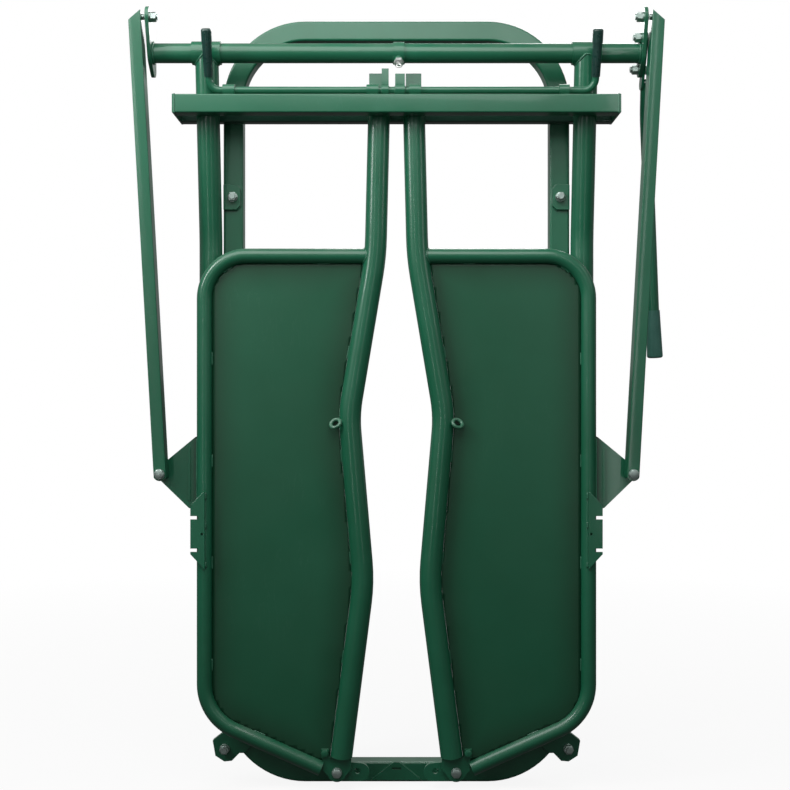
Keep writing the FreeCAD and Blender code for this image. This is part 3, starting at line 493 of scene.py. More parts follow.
ENAMEL = Finish("green_enamel", light=(0.014, 0.158, 0.082), deep=(0.008, 0.108, 0.050), slot="green_paint",
                roughness=0.34, coat=0.34, coat_roughness=0.08, grain_scale=420.0, grain_depth=0.06)
# Painted shade: the rear rail's face inside the header slot, darkened where the front rail would shade it.
SHADED_SLOT_ENAMEL = replace(ENAMEL, name="slot_green_enamel", grime_amount=0.92, grime_reach=0.060,
                      grime=(0.004, 0.014, 0.012))
# Painted shade: a brown-black band on the link bracket in the gap beside the upright tube.
SHADED_BRACKET_ENAMEL = replace(ENAMEL, name="bracket_green_enamel", grime_amount=0.9, grime_reach=0.016,
                         grime=(0.014, 0.013, 0.011))
# Door sheets: painted shade near the tubes, where the recessed sheet falls in shade, mixed with real dirt.
SHADED_SHEET_ENAMEL = replace(ENAMEL, name="green_sheet_enamel", light=(0.010, 0.118, 0.058),
                       deep=(0.007, 0.088, 0.040), slot="green_sheet", roughness=0.42, coat=0.08,
                       coat_roughness=0.25, mottle_scale=1.6, wave_scale=4.5, wave_depth=3.0,
                       grime_amount=0.85)
# Neck hook: a lighter tint that is a painted highlight, with real rub marks on it.
RUBBED_HIGHLIT_ENAMEL = replace(ENAMEL, name="rubbed_green_enamel", light=(0.075, 0.230, 0.145),
                        deep=(0.018, 0.120, 0.062), mottle_scale=40.0, mottle_contrast=2.6,
                        scuff_amount=0.35, scuff_scale=110.0)
WELD_ENAMEL = replace(ENAMEL, name="green_weld_enamel", light=(0.045, 0.200, 0.120),
                      deep=(0.012, 0.110, 0.056), roughness=0.36, mottle_scale=30.0, grain_scale=900.0,
                      grain_depth=0.25)
ZINC = Finish("dull_zinc", light=(0.52, 0.62, 0.58), deep=(0.32, 0.41, 0.375), slot="zinc", metallic=1.0,
              roughness=0.40, mottle_scale=90.0, grain_scale=1600.0, grain_depth=0.15,
              dust_amount=0.15, scuff=(0.25, 0.31, 0.28), scuff_amount=0.5, scuff_scale=120.0)
BRIGHT_ZINC = replace(ZINC, name="bright_zinc", light=(0.90, 0.91, 0.90), deep=(0.74, 0.75, 0.74),
                      roughness=0.48)
HANDLE_RUBBER = Finish("handle_rubber", light=(0.085, 0.250, 0.200), deep=(0.050, 0.170, 0.135),
                       slot="handle_grip", roughness=0.46, mottle_scale=20.0, grain_scale=1500.0,
                       grain_depth=0.30, specular=0.4)
LATCH_RUBBER = Finish("latch_rubber", light=(0.010, 0.056, 0.044), deep=(0.005, 0.028, 0.023),
                      slot="latch_grip", roughness=0.30, mottle_scale=25.0, grain_scale=1500.0,
                      grain_depth=0.20, coat=0.3)


class Dresser:
    """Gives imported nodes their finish, and softens the edges of flat pieces."""

    doubled: float = 0.002 * MM
    flat_angle: float = math.radians(0.3)
    bevel_angle: float = math.radians(35.0)
    bevel_segments: int = 2

    def __init__(self, nodes: dict[str, bpy.types.Object], effects: Effects) -> None:
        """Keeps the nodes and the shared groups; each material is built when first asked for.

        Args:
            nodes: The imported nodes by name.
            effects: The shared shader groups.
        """
        self.nodes = nodes
        self.effects = effects
        self.made: dict[str, bpy.types.Material] = {}
        self.dressed: set[str] = set()

    def material(self, finish: Finish) -> bpy.types.Material:
        """The finish's material, built once."""
        if finish.name not in self.made:
            self.made[finish.name] = finish.material(self.effects)
        return self.made[finish.name]

    def paint(self, piece: bpy.types.Object, finish: Finish) -> None:
        """Puts one finish on a whole piece.

        Args:
            piece: The piece.
            finish: Its finish.
        """
        piece.data.materials.clear()
        piece.data.materials.append(self.material(finish))
        self.dressed.add(piece.name)

    @staticmethod
    def measure(mesh: bpy.types.Mesh, distance: Distance) -> None:
        """Keeps each point's distance from the place where painted shade is darkest, with real dirt there too
        on the sheets.

        Args:
            mesh: The mesh.
            distance: Gives the distances of an array of points, both in metres.
        """
        points = np.empty(len(mesh.vertices) * 3)
        mesh.vertices.foreach_get("co", points)
        attribute = mesh.attributes.new(TUBE_DISTANCE, "FLOAT", "POINT")
        attribute.data.foreach_set("value", distance(points.reshape(-1, 3)))

    def copied(self, node: str) -> tuple[bpy.types.Mesh, bmesh.types.BMesh]:
        """Copies a node's mesh, merges its doubled points and makes its flat faces whole again.

        Args:
            node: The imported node.

        Returns:
            The copy, and its open shape, still to be written back to it.
        """
        mesh = self.nodes[node].data.copy()
        mesh.name = node + "_steel"
        marks = ("custom_normal", "sharp_face", "sharp_edge")
        for attribute in [a for a in mesh.attributes if a.name in marks]:
            mesh.attributes.remove(attribute)
        shape = bmesh.new()
        shape.from_mesh(mesh)
        bmesh.ops.remove_doubles(shape, verts=shape.verts, dist=self.doubled)
        bmesh.ops.dissolve_limit(shape, angle_limit=self.flat_angle, verts=shape.verts, edges=shape.edges)
        return mesh, shape

    def stand_in(self, node: str, mesh: bpy.types.Mesh, shape: bmesh.types.BMesh, finish: Finish,
                 distance: Distance | None) -> bpy.types.Object:
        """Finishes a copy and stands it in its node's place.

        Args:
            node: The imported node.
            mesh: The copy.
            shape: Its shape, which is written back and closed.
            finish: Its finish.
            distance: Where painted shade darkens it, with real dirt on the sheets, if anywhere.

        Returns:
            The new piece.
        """
        shape.to_mesh(mesh)
        shape.free()
        if distance:
            self.measure(mesh, distance)
        piece = placed(node + "_steel", mesh)
        self.paint(piece, finish)
        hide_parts(node)
        self.dressed.add(node)
        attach(piece, self.nodes[node]["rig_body"])
        return piece

    def soften(self, node: str, finish: Finish, width: float, distance: Distance | None = None) -> None:
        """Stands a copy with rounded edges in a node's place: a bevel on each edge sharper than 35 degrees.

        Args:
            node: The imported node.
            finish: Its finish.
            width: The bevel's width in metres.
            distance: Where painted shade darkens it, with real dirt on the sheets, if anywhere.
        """
        mesh, shape = self.copied(node)
        for face in shape.faces:
            face.smooth = True
        piece = self.stand_in(node, mesh, shape, finish, distance)
        bevel = piece.modifiers.new("edges", "BEVEL")
        bevel.width = width
        bevel.segments = self.bevel_segments
        bevel.limit_method = "ANGLE"
        bevel.angle_limit = self.bevel_angle
        bevel.harden_normals = True
        bevel.use_clamp_overlap = True


@dataclass(frozen=True)
class Seam:
    """One weld bead: the points of its line in millimetres, and its radius."""

    line: np.ndarray
    radius: float = 2.0

    def mirrored(self) -> "Seam":
        """The same seam on the other side of the gate."""
        return Seam(self.line * np.array([-1.0, 1.0, 1.0]), self.radius)


def evened(line: np.ndarray, step: float) -> np.ndarray:
    """The same line with its points at even distances.

    Args:
        line: Points along the line.
        step: The wished distance.

    Returns:
        The new points, the first and last of them unchanged.
    """
    along = np.concatenate([[0.0], np.cumsum(np.linalg.norm(np.diff(line, axis=0), axis=1))])
    places = np.linspace(0.0, along[-1], max(5, int(along[-1] / step) + 1))
    return np.stack([np.interp(places, along, line[:, axis]) for axis in range(3)], axis=1)


def straight(*points: Sequence[float]) -> np.ndarray:
    """A line through these points."""
    return np.array(points, float)


def circle(centre: Sequence[float], radius: float, axis: int, first: float = 0.0,
           last: float = 360.0) -> np.ndarray:
    """Part of a circle: the centre plus radius (cos a, sin a) in the plane square to one axis.

    Args:
        centre: Its middle.
        radius: Its radius.
        axis: 0, 1 or 2 for the axis that it is square to.
        first: The angle at which it starts, in degrees.
        last: The angle at which it ends.

    Returns:
        The points.
    """
    angle = np.radians(np.linspace(first, last, max(12, int(abs(last - first) / 3))))
    across, along = ((1, 2), (0, 2), (0, 1))[axis]
    line = np.tile(np.array(centre, float), (len(angle), 1))
    line[:, across] += radius * np.cos(angle)
    line[:, along] += radius * np.sin(angle)
    return line


def bent(points: Sequence[Sequence[float]], radii: Sequence[float], step: float) -> np.ndarray:
    """A line of straight runs joined by tangent arcs, as even points.

    At a corner C between unit directions b (back) and f (forward), with h half of the turn, the arc
    of radius r has its centre at C + (b + f) r / (cos h |b + f|) and runs from C + b r tan h to
    C + f r tan h; its points are the centre plus a radius turned evenly between those two.

    Args:
        points: The corners, in millimetres.
        radii: One radius for each inner corner.
        step: The distance between points along the line.

    Returns:
        An array of points, in millimetres.
    """
    corners = np.array(points, float)
    pieces = [corners[:1]]
    for index, radius in enumerate(radii, start=1):
        corner = corners[index]
        back = corners[index - 1] - corner
        onward = corners[index + 1] - corner
        back, onward = back / np.linalg.norm(back), onward / np.linalg.norm(onward)
        turn = math.pi - math.acos(float(np.clip(back @ onward, -1, 1)))
        reach = radius * math.tan(turn / 2)
        inward = (back + onward) / np.linalg.norm(back + onward)
        centre = corner + inward * radius / math.cos(turn / 2)
        first, last = corner + back * reach - centre, corner + onward * reach - centre
        share = np.linspace(0, 1, max(4, int(turn * radius / step)))[:, None]
        spoke = (np.sin((1 - share) * turn) * first + np.sin(share * turn) * last) / math.sin(turn)
        pieces.append(centre + spoke)
    pieces.append(corners[-1:])
    return evened(np.vstack(pieces), step)


def beside(line: np.ndarray, distance: float, forward: float) -> np.ndarray:
    """A line moved sideways in its own upright plane and then forward.

    With the line's run (u, 0, w) the sideways direction is (w, 0, -u).

    Args:
        line: The line, in a plane square to Y.
        distance: How far sideways.
        forward: How far towards the handler.

    Returns:
        The moved points.
    """
    run = np.gradient(line, axis=0)
    run /= np.linalg.norm(run, axis=1, keepdims=True)
    sideways = np.stack([run[:, 2], np.zeros(len(run)), -run[:, 0]], axis=1)
    return line + sideways * distance - np.array([0.0, forward, 0.0])


def stitches(line: np.ndarray, radius: float, length: int, pitch: int, start: int = 0) -> list[Seam]:
    """Short beads at even places along a line.

    Args:
        line: The line that they follow.
        radius: Their radius.
        length: Points of the line in each bead.
        pitch: Points from one bead to the next.
        start: The first bead's first point.

    Returns:
        The seams.
    """
    return [Seam(line[first:first + length], radius) for first in range(start, len(line) - length, pitch)]


@dataclass(frozen=True)
class Bead:
    """How a hand-laid bead looks: the pitch and depth of its ripples, and how finely it is drawn."""

    ripple_pitch: float = 3.6
    ripple_share: float = 0.18
    sides: int = 8
    step: float = 0.9
    end_share: float = 0.08

    def surface(self, seam: Seam) -> tuple[np.ndarray, np.ndarray, np.ndarray]:
        """The surface of one bead.

        The point at distance s along the line and angle a round it is the line's point plus
        r(s) (cos a n + sin a b), with n and b square to the line. The radius r(s) is
        r0 (1 - k + k |cos(pi s / p)|), and over the last r0 at both ends it falls as the root of
        1 - (1 - u)^2.

        Args:
            seam: The seam.

        Returns:
            The points, the quads along the bead and the polygons that close its two ends.
        """
        line = evened(seam.line, self.step)
        along = np.concatenate([[0.0], np.cumsum(np.linalg.norm(np.diff(line, axis=0), axis=1))])
        tangent = np.gradient(line, axis=0)
        tangent /= np.linalg.norm(tangent, axis=1, keepdims=True)
        reference = np.zeros(3)
        reference[int(np.argmin(np.ptp(line, axis=0)))] = 1.0
        normal = reference - tangent * (tangent @ reference)[:, None]
        normal /= np.linalg.norm(normal, axis=1, keepdims=True)
        binormal = np.cross(tangent, normal)
        wave = np.abs(np.cos(math.pi * along / self.ripple_pitch))
        ripple = 1 - self.ripple_share + self.ripple_share * wave
        to_end = np.clip(np.minimum(along, along[-1] - along) / seam.radius, 0, 1)
        radius = seam.radius * ripple * np.maximum(np.sqrt(1 - (1 - to_end) ** 2), self.end_share)
        angle = np.linspace(0, 2 * math.pi, self.sides, endpoint=False)
        ring = (np.cos(angle)[None, :, None] * normal[:, None]
                + np.sin(angle)[None, :, None] * binormal[:, None])
        points = (line[:, None] + radius[:, None, None] * ring).reshape(-1, 3)
        row, column = np.meshgrid(np.arange(len(line) - 1), np.arange(self.sides), indexing="ij")
        following = (column + 1) % self.sides
        quads = np.stack([row * self.sides + column, row * self.sides + following,
                          (row + 1) * self.sides + following, (row + 1) * self.sides + column], axis=-1)
        last = (len(line) - 1) * self.sides + np.arange(self.sides)
        ends = np.stack([np.arange(self.sides)[::-1], last])
        return points, quads.reshape(-1, 4), ends

    def lay(self, name: str, body: str, seams: Sequence[Seam], dresser: Dresser) -> None:
        """Makes one piece of these beads and gives it to its body.

        Args:
            name: The piece's name.
            body: The body that it moves with.
            seams: The seams.
            dresser: Paints it.
        """
        points, faces, first = [], [], 0
        for seam in seams:
            more, quads, ends = self.surface(seam)
            points.append(more)
            faces += (quads + first).tolist() + (ends + first).tolist()
            first += len(more)
        mesh = bpy.data.meshes.new(name)
        mesh.from_pydata((np.vstack(points) * MM).tolist(), [], faces)
        mesh.shade_smooth()
        piece = placed(name, mesh)
        dresser.paint(piece, WELD_ENAMEL)
        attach(piece, body)
        LOG.info("%s: %d beads, %d faces", name, len(seams), len(faces))


@dataclass
class SubAssembly:
    """A part of the gate: dresses its own nodes and lays its own weld beads."""

    dresser: Dresser
    plate_edge: float = 0.7 * MM
    fastener_edge: float = 0.35 * MM
    bead: Bead = Bead()

    def plates(self, *names: str) -> None:
        """Enamels flat pieces and rounds their edges a little."""
        for name in names:
            self.dresser.soften(name, ENAMEL, self.plate_edge)
        LOG.info("plates: %s", ", ".join(names))

    def fasteners(self, *names: str) -> None:
        """Gives bolts, pins and nuts their zinc."""
        for name in names:
            self.dresser.soften(name, ZINC, self.fastener_edge)
        LOG.info("fasteners: %s", ", ".join(names))

    def coat(self, finish: Finish, *names: str) -> None:
        """Puts a finish on round pieces.

        Args:
            finish: The finish.
            names: The nodes.
        """
        for name in names:
            self.dresser.paint(self.dresser.nodes[name], finish)
        LOG.info("%s: %s", finish.name, ", ".join(names))


@dataclass
class StandingFrame(SubAssembly):
    """The bow, the header, the posts with their sleeves, the lugs and the base."""

    bow_front: float = -22.3
    bow_outer: float = 389.0
    bow_inner: float = 344.4
    rail_low: float = 1477.0
    rail_top: float = 1517.0
    rail_front: float = -146.2
    rail_back: float = -110.2
    rail_end: float = 478.0
    slot_face: float = -52.225
    post_x: float = 414.55
    post_radius: float = 25.4
    post_seam: Pair = (389.9, -22.4)
    stitch_heights: tuple[float, ...] = (360.0, 640.0, 900.0, 1110.0)
    stitch_length: float = 45.0
    corner_clear: float = 2.0
    base_lug_edges: Pair = (91.0, 117.0)
    base_lug_heights: Pair = (20.0, 39.0)
    upper_lug: tuple[Pair, ...] = ((388.0, 1284.6), (358.6, 1284.6), (349.6, 1293.8),
                                                  (349.6, 1332.2), (358.6, 1341.4), (388.0, 1341.4))
    lower_lug: Pair = (353.6, 95.6)
    lower_lug_radius: float = 29.9
    lower_lug_arc: Pair = (62.0, 236.0)
    gusset: tuple[Pair, Pair] = ((53.0, 7.5), (9.0, 43.5))
    gusset_forward: float = 0.4
    header_bead: float = 1.5
    lug_bead: float = 1.9
    saddle_bead: float = 2.3
    stitch_bead: float = 3.8
    lean: Pair = (-0.1552, 0.9879)
    sleeve_radius: float = 25.15
    shaft: Pair = (-99.92, 1616.0)
    rod_y: float = -123.225
    guides: tuple[Pair, ...] = ((-363.05, 26.0), (-52.0, 26.0), (40.0, 26.0), (363.05, 22.0))
    guide_side: float = 8.2
    guide_lift: float = 1.6
    bead_sunk: float = 0.3

    def build(self) -> None:
        """Dresses the frame and welds it."""
        # The rear rail's face in the slot carries painted shade, darkest at that face.
        self.dresser.soften("rear_rail", SHADED_SLOT_ENAMEL, self.plate_edge,
                            lambda points: points[:, 1] - self.slot_face * MM)
        self.plates("front_rail", "upper_lugs", "lower_lugs", "centre_gusset",
                    "left_rail_end_plate", "right_rail_end_plate", "left_base_lug", "right_base_lug")
        self.coat(ENAMEL, "bow", "left_post", "right_post", "left_bearing_sleeve",
                  "right_bearing_sleeve", "rod_guides")
        self.fasteners("mounting_studs", "mounting_nuts")
        seams = [*self._side_seams(), *self._middle_seams()]
        self.bead.lay("frame_welds", "frame", seams, self.dresser)

    def _on_bow(self, *places: Pair) -> np.ndarray:
        """A line on the bow's front through these places, given across and up."""
        return straight(*((x, self.bow_front, z) for x, z in places))

    def _side_seams(self) -> list[Seam]:
        """The seams of the right-hand side and, mirrored, of the left."""
        low, top, end = self.rail_low, self.rail_top, self.rail_end
        header = straight((end, self.rail_back, top), (end, self.rail_front, top),
                          (end, self.rail_front, low), (end, self.rail_back, low))
        seams = [Seam(header, self.header_bead)]
        seams += [Seam(self._on_bow((edge, low + self.corner_clear), (edge, top - self.corner_clear)))
                  for edge in (self.bow_outer, self.bow_inner)]
        foot, head = self.base_lug_heights
        seams += [Seam(self._on_bow((edge, foot), (edge, head)), self.lug_bead)
                  for edge in self.base_lug_edges]
        across, up = self.lower_lug
        seams += [Seam(self._on_bow(*self.upper_lug), self.lug_bead),
                  Seam(circle((across, self.bow_front, up), self.lower_lug_radius, 1, *self.lower_lug_arc),
                       self.lug_bead),
                  Seam(self._saddle(), self.saddle_bead)]
        x, y = self.post_seam
        seams += [Seam(straight((x, y, height), (x, y, height + self.stitch_length)), self.stitch_bead)
                  for height in self.stitch_heights]
        return [each for seam in seams for each in (seam, seam.mirrored())]

    def _saddle(self) -> np.ndarray:
        """The line where a post meets its sleeve.

        A point of the post at angle a lies r cos a along X and q = r sin a across; there the
        sleeve's underside is the root of R^2 - q^2 below its axis, measured along the leaning post.

        Returns:
            The points.
        """
        turn = np.radians(np.linspace(0, 360, 90))
        limit = self.sleeve_radius - self.bead_sunk
        across = np.clip(self.post_radius * np.sin(turn), -limit, limit)
        drop = np.sqrt(self.sleeve_radius ** 2 - across ** 2)
        lean_y, lean_z = self.lean
        return np.stack([self.post_x + self.post_radius * np.cos(turn),
                         self.shaft[0] + across * lean_z - drop * lean_y,
                         self.shaft[1] - across * lean_y - drop * lean_z], axis=1)

    def _middle_seams(self) -> list[Seam]:
        """The seams under the rod guides and along the gusset."""
        foot = self.rail_top + self.guide_lift
        seams = [Seam(straight((middle - width / 2 + 1, self.rod_y + side, foot),
                               (middle + width / 2 - 1, self.rod_y + side, foot)), self.lug_bead)
                 for middle, width in self.guides for side in (-self.guide_side, self.guide_side)]
        y = self.bow_front - self.gusset_forward
        seams += [Seam(straight(*((sign * x, y, z) for x, z in self.gusset))) for sign in (-1, 1)]
        return seams


@dataclass
class LiftShaft(SubAssembly):
    """The shaft across the top with its arms, its pull handle and the trigger bolt in its band."""

    axis: Pair = (-99.92, 1616.0)
    radius: float = 21.1
    arm_inner: float = 531.0
    band_edges: Pair = (-7.0, 17.0)
    band_arc: Pair = (-150.0, 70.0)
    band_proud: float = 0.7
    band_bead: float = 1.3
    arm_clear: float = 1.4
    arm_proud: float = 0.9
    arm_bead: float = 2.6

    def build(self) -> None:
        """Dresses the shaft and welds it."""
        self.plates("left_arm", "right_arm")
        self.coat(ENAMEL, "shaft", "trigger_band", "handle")
        self.fasteners("handle_bolts", "left_arm_pin", "right_arm_pin")
        self.dresser.soften("trigger_bolt", BRIGHT_ZINC, self.fastener_edge)
        self.coat(HANDLE_RUBBER, "handle_grip")
        place = (self.arm_inner - self.arm_clear, *self.axis)
        joint = Seam(circle(place, self.radius + self.arm_proud, 0), self.arm_bead)
        seams = [joint, joint.mirrored()]
        radius = self.radius + self.band_proud
        seams += [Seam(circle((edge, *self.axis), radius, 0, *self.band_arc), self.band_bead)
                  for edge in self.band_edges]
        self.bead.lay("shaft_welds", "lift_shaft", seams, self.dresser)


@dataclass
class LatchRod(SubAssembly):
    """The latch rod with its two dogs and its two rubber grips."""

    axis: Pair = (-123.225, 1529.7)
    radius: float = 7.75
    dog_edges: tuple[float, ...] = (-32.0, -17.0, -3.0, 18.0)
    dog_proud: float = 0.8
    dog_bead: float = 1.5

    def build(self) -> None:
        """Dresses the rod and welds its dogs."""
        self.plates("left_latch_dog", "right_latch_dog")
        self.coat(ENAMEL, "latch_rod")
        self.coat(LATCH_RUBBER, "left_latch_grip", "right_latch_grip")
        seams = [Seam(circle((edge, *self.axis), self.radius + self.dog_proud, 0), self.dog_bead)
                 for edge in self.dog_edges]
        self.bead.lay("latch_welds", "latch", seams, self.dresser)


@dataclass
class SwingDoor(SubAssembly):
    """One door: the bent neck tube, the frame tube, the sheet and the plates on its upright."""

    side: Side = Side.RIGHT
    plane: float = -81.225
    stanchion: tuple[Pair, ...] = ((38.0, 1508.0), (46.0, 1175.0), (104.3, 826.0),
                                                 (72.6, 458.0), (121.5, 73.5))
    stanchion_radii: tuple[float, ...] = (600.0, 300.0, 420.0)
    stanchion_radius: float = 24.15
    frame: tuple[Pair, ...] = ((58.0, 1175.0), (422.5, 1175.0), (422.5, 162.0), (166.0, 48.34))
    frame_radii: tuple[float, ...] = (93.0, 110.0)
    frame_radius: float = 16.7
    upright_side: float = 440.5
    cap_height: float = 1508.4
    tab_foot: float = 1512.6
    sheet_step: float = 9.0 * MM
    line_step: float = 4.0
    tab_edges: tuple[Pair, Pair] = ((32.0, 59.0), (21.5, 53.5))
    tab_faces: Pair = (5.4, -5.4)
    tab_bead: float = 1.9
    edge_clear: float = 0.5
    stitch_from: float = 96.0
    stitch_tops: Pair = (1252.0, 1152.0)
    stitch_faces: tuple[tuple[float, int], ...] = ((1.9, 12), (-1.9, 27))
    stitch_points: int = 8
    stitch_pitch: int = 56
    stitch_bead: float = 1.6
    cope_proud: float = 0.4
    cope_bead: float = 2.0
    cap_sunk: float = 0.3
    cap_bead: float = 1.4
    bracket_x: float = 438.6
    bracket_heights: Pair = (627.0, 774.0)
    bracket_faces: Pair = (6.6, -0.6)
    bracket_bead: float = 2.1
    notch_x: float = 417.5
    notch_forward: float = 17.4
    notch_heights: tuple[Pair, ...] = ((641.0, 656.0), (578.0, 592.0), (492.0, 504.0))
    notch_bead: float = 2.8
    slant: tuple[Pair, Pair] = ((421.0, 657.0), (449.0, 627.4))
    slant_forward: float = 17.6
    plate_bead: float = 2.2
    hook: tuple[Triple, Triple] = ((126.3, 10.0, 812.0), (125.7, 8.4, 818.5))
    hook_bead: float = 3.0
    pivot_plate: tuple[Pair, Pair] = ((100.5, 74.2), (146.0, 74.2))
    pivot_faces: Pair = (4.6, -8.6)

    def build(self) -> None:
        """Dresses the door and welds it."""
        word = self.side.word
        # The link bracket gets a band of painted shade beside the upright tube.
        self.dresser.soften(f"{word}_link_bracket", SHADED_BRACKET_ENAMEL, self.plate_edge,
                            lambda points: np.abs(points[:, 0]) - self.upright_side * MM)
        self.plates(*(f"{word}_{name}" for name in ("catch_tab", "notch_plate", "pivot_plate", "foot_tab")))
        self.coat(ENAMEL, f"{word}_stanchion", f"{word}_door_frame")
        self._sheet(f"{word}_door_sheet")
        # The neck hook's lighter tint is a painted highlight; its rubs are wear.
        self.coat(RUBBED_HIGHLIT_ENAMEL, f"{word}_neck_hook")
        self.fasteners(f"{word}_pivot_bolt")
        seams = [*self._sheet_seams(), *self._tube_seams(), *self._plate_seams()]
        if self.side is Side.LEFT:
            seams = [seam.mirrored() for seam in seams]
        self.bead.lay(f"{word}_door_welds", f"{word}_door", seams, self.dresser)

    def _lines(self) -> tuple[np.ndarray, np.ndarray]:
        """The centrelines of the neck tube and of the frame tube, on the right-hand door."""
        neck = bent([(x, self.plane, z) for x, z in self.stanchion], self.stanchion_radii, self.line_step)
        rim = bent([(x, self.plane, z) for x, z in self.frame], self.frame_radii, self.line_step)
        return neck, rim

    def _from_tubes(self, points: np.ndarray) -> np.ndarray:
        """Distances to the nearer tube: the least to the points of a centreline, less its radius.

        Args:
            points: Places on the sheet, in metres.

        Returns:
            The distances, in metres.
        """
        flat = points[:, [0, 2]] / MM * (self.side.value, 1)
        away = []
        for line, radius in zip(self._lines(), (self.stanchion_radius, self.frame_radius)):
            apart = flat[:, None] - line[None, ::3][:, :, [0, 2]]
            away.append(np.sqrt((apart ** 2).sum(axis=2)).min(axis=1) - radius)
        return np.maximum(np.minimum(*away), 0.0) * MM

    def _sheet(self, node: str) -> None:
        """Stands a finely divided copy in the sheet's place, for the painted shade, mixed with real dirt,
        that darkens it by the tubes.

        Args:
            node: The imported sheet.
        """
        mesh, shape = self.dresser.copied(node)
        corners = np.array([v.co for v in shape.verts])
        for axis, normal in ((0, (1, 0, 0)), (2, (0, 0, 1))):
            first, last = corners[:, axis].min() + self.sheet_step, corners[:, axis].max()
            for place in np.arange(first, last, self.sheet_step):
                bmesh.ops.bisect_plane(shape, geom=[*shape.verts, *shape.edges, *shape.faces], dist=1e-7,
                                       plane_co=[place * part for part in normal], plane_no=normal)
        piece = self.dresser.stand_in(node, mesh, shape, SHADED_SHEET_ENAMEL, self._from_tubes)
        LOG.info("%s: %d points", piece.name, len(mesh.vertices))

    def _run(self, ends: Sequence[Pair], forward: float, radius: float) -> Seam:
        """A straight seam between two places across and up, this far forward of the door's plane."""
        return Seam(straight(*((x, self.plane - forward, z) for x, z in ends)), radius)

    def _sheet_seams(self) -> list[Seam]:
        """Stitches between the sheet and the tubes round it, on both faces."""
        neck, rim = self._lines()
        seams = []
        sides = (self.frame_radius + self.edge_clear, -self.stanchion_radius - self.edge_clear)
        for line, distance, top in zip((rim, neck), sides, self.stitch_tops):
            for forward, start in self.stitch_faces:
                edge = beside(line, distance, forward)
                inside = (edge[:, [0, 2]] > self.stitch_from).all(axis=1) & (edge[:, 2] < top)
                seams += stitches(edge[inside], self.stitch_bead, self.stitch_points,
                                  self.stitch_pitch, start)
        return seams

    def _tube_seams(self) -> list[Seam]:
        """The cope where the frame meets the neck tube, and the ring under the neck tube's cap."""
        neck, _ = self._lines()
        turn = np.radians(np.linspace(0, 360, 72))
        height = self.frame[0][1] + self.frame_radius * np.cos(turn)
        forward = self.frame_radius * np.sin(turn)
        axis = np.interp(height, neck[::-1, 2], neck[::-1, 0])
        across = axis + np.sqrt(self.stanchion_radius ** 2 - forward ** 2) + self.cope_proud
        cope = np.stack([across, self.plane + forward, height], axis=1)
        centre = (self.stanchion[0][0], self.plane, self.cap_height)
        ring = circle(centre, self.stanchion_radius - self.cap_sunk, 2)
        return [Seam(cope, self.cope_bead), Seam(ring, self.cap_bead)]

    def _plate_seams(self) -> list[Seam]:
        """The seams of the plates on the upright, the hook, the pivot plate and the catch tab."""
        tab = [(x, self.tab_foot) for x in self.tab_edges[0 if self.side is Side.LEFT else 1]]
        bracket = [(self.bracket_x, z) for z in self.bracket_heights]
        seams = [self._run(bracket, forward, self.bracket_bead) for forward in self.bracket_faces]
        seams += [self._run([(self.notch_x, z) for z in heights], self.notch_forward, self.notch_bead)
                  for heights in self.notch_heights]
        seams.append(self._run(self.slant, self.slant_forward, self.plate_bead))
        hook = straight(*((x, self.plane - forward, z) for x, forward, z in self.hook))
        seams.append(Seam(hook, self.hook_bead))
        seams += [self._run(self.pivot_plate, forward, self.plate_bead) for forward in self.pivot_faces]
        seams += [self._run(tab, forward, self.tab_bead) for forward in self.tab_faces]
        return seams


@dataclass
class DoorLink(SubAssembly):
    """One link from its arm down to its door, with the bolts at both ends."""

    side: Side = Side.RIGHT

    def build(self) -> None:
        """Dresses the link."""
        word = self.side.word
        self.plates(f"{word}_link")
        self.fasteners(f"{word}_link_head_bolt", f"{word}_link_foot_bolt")


@dataclass(frozen=True)
class Lamp:
    """One soft rectangular lamp: where it is, what it faces, its size in metres and its power in watts."""

    name: str
    place: Triple
    target: Triple
    size: Pair
    power: float

    def build(self) -> None:
        """Hangs the lamp."""
        light = bpy.data.lights.new(self.name, "AREA")
        light.shape = "RECTANGLE"
        light.size, light.size_y = self.size
        light.energy = self.power
        lamp = placed(self.name, light)
        lamp.location = self.place
        aim = Vector(self.target) - Vector(self.place)
        lamp.rotation_euler = aim.to_track_quat("-Z", "Y").to_euler()


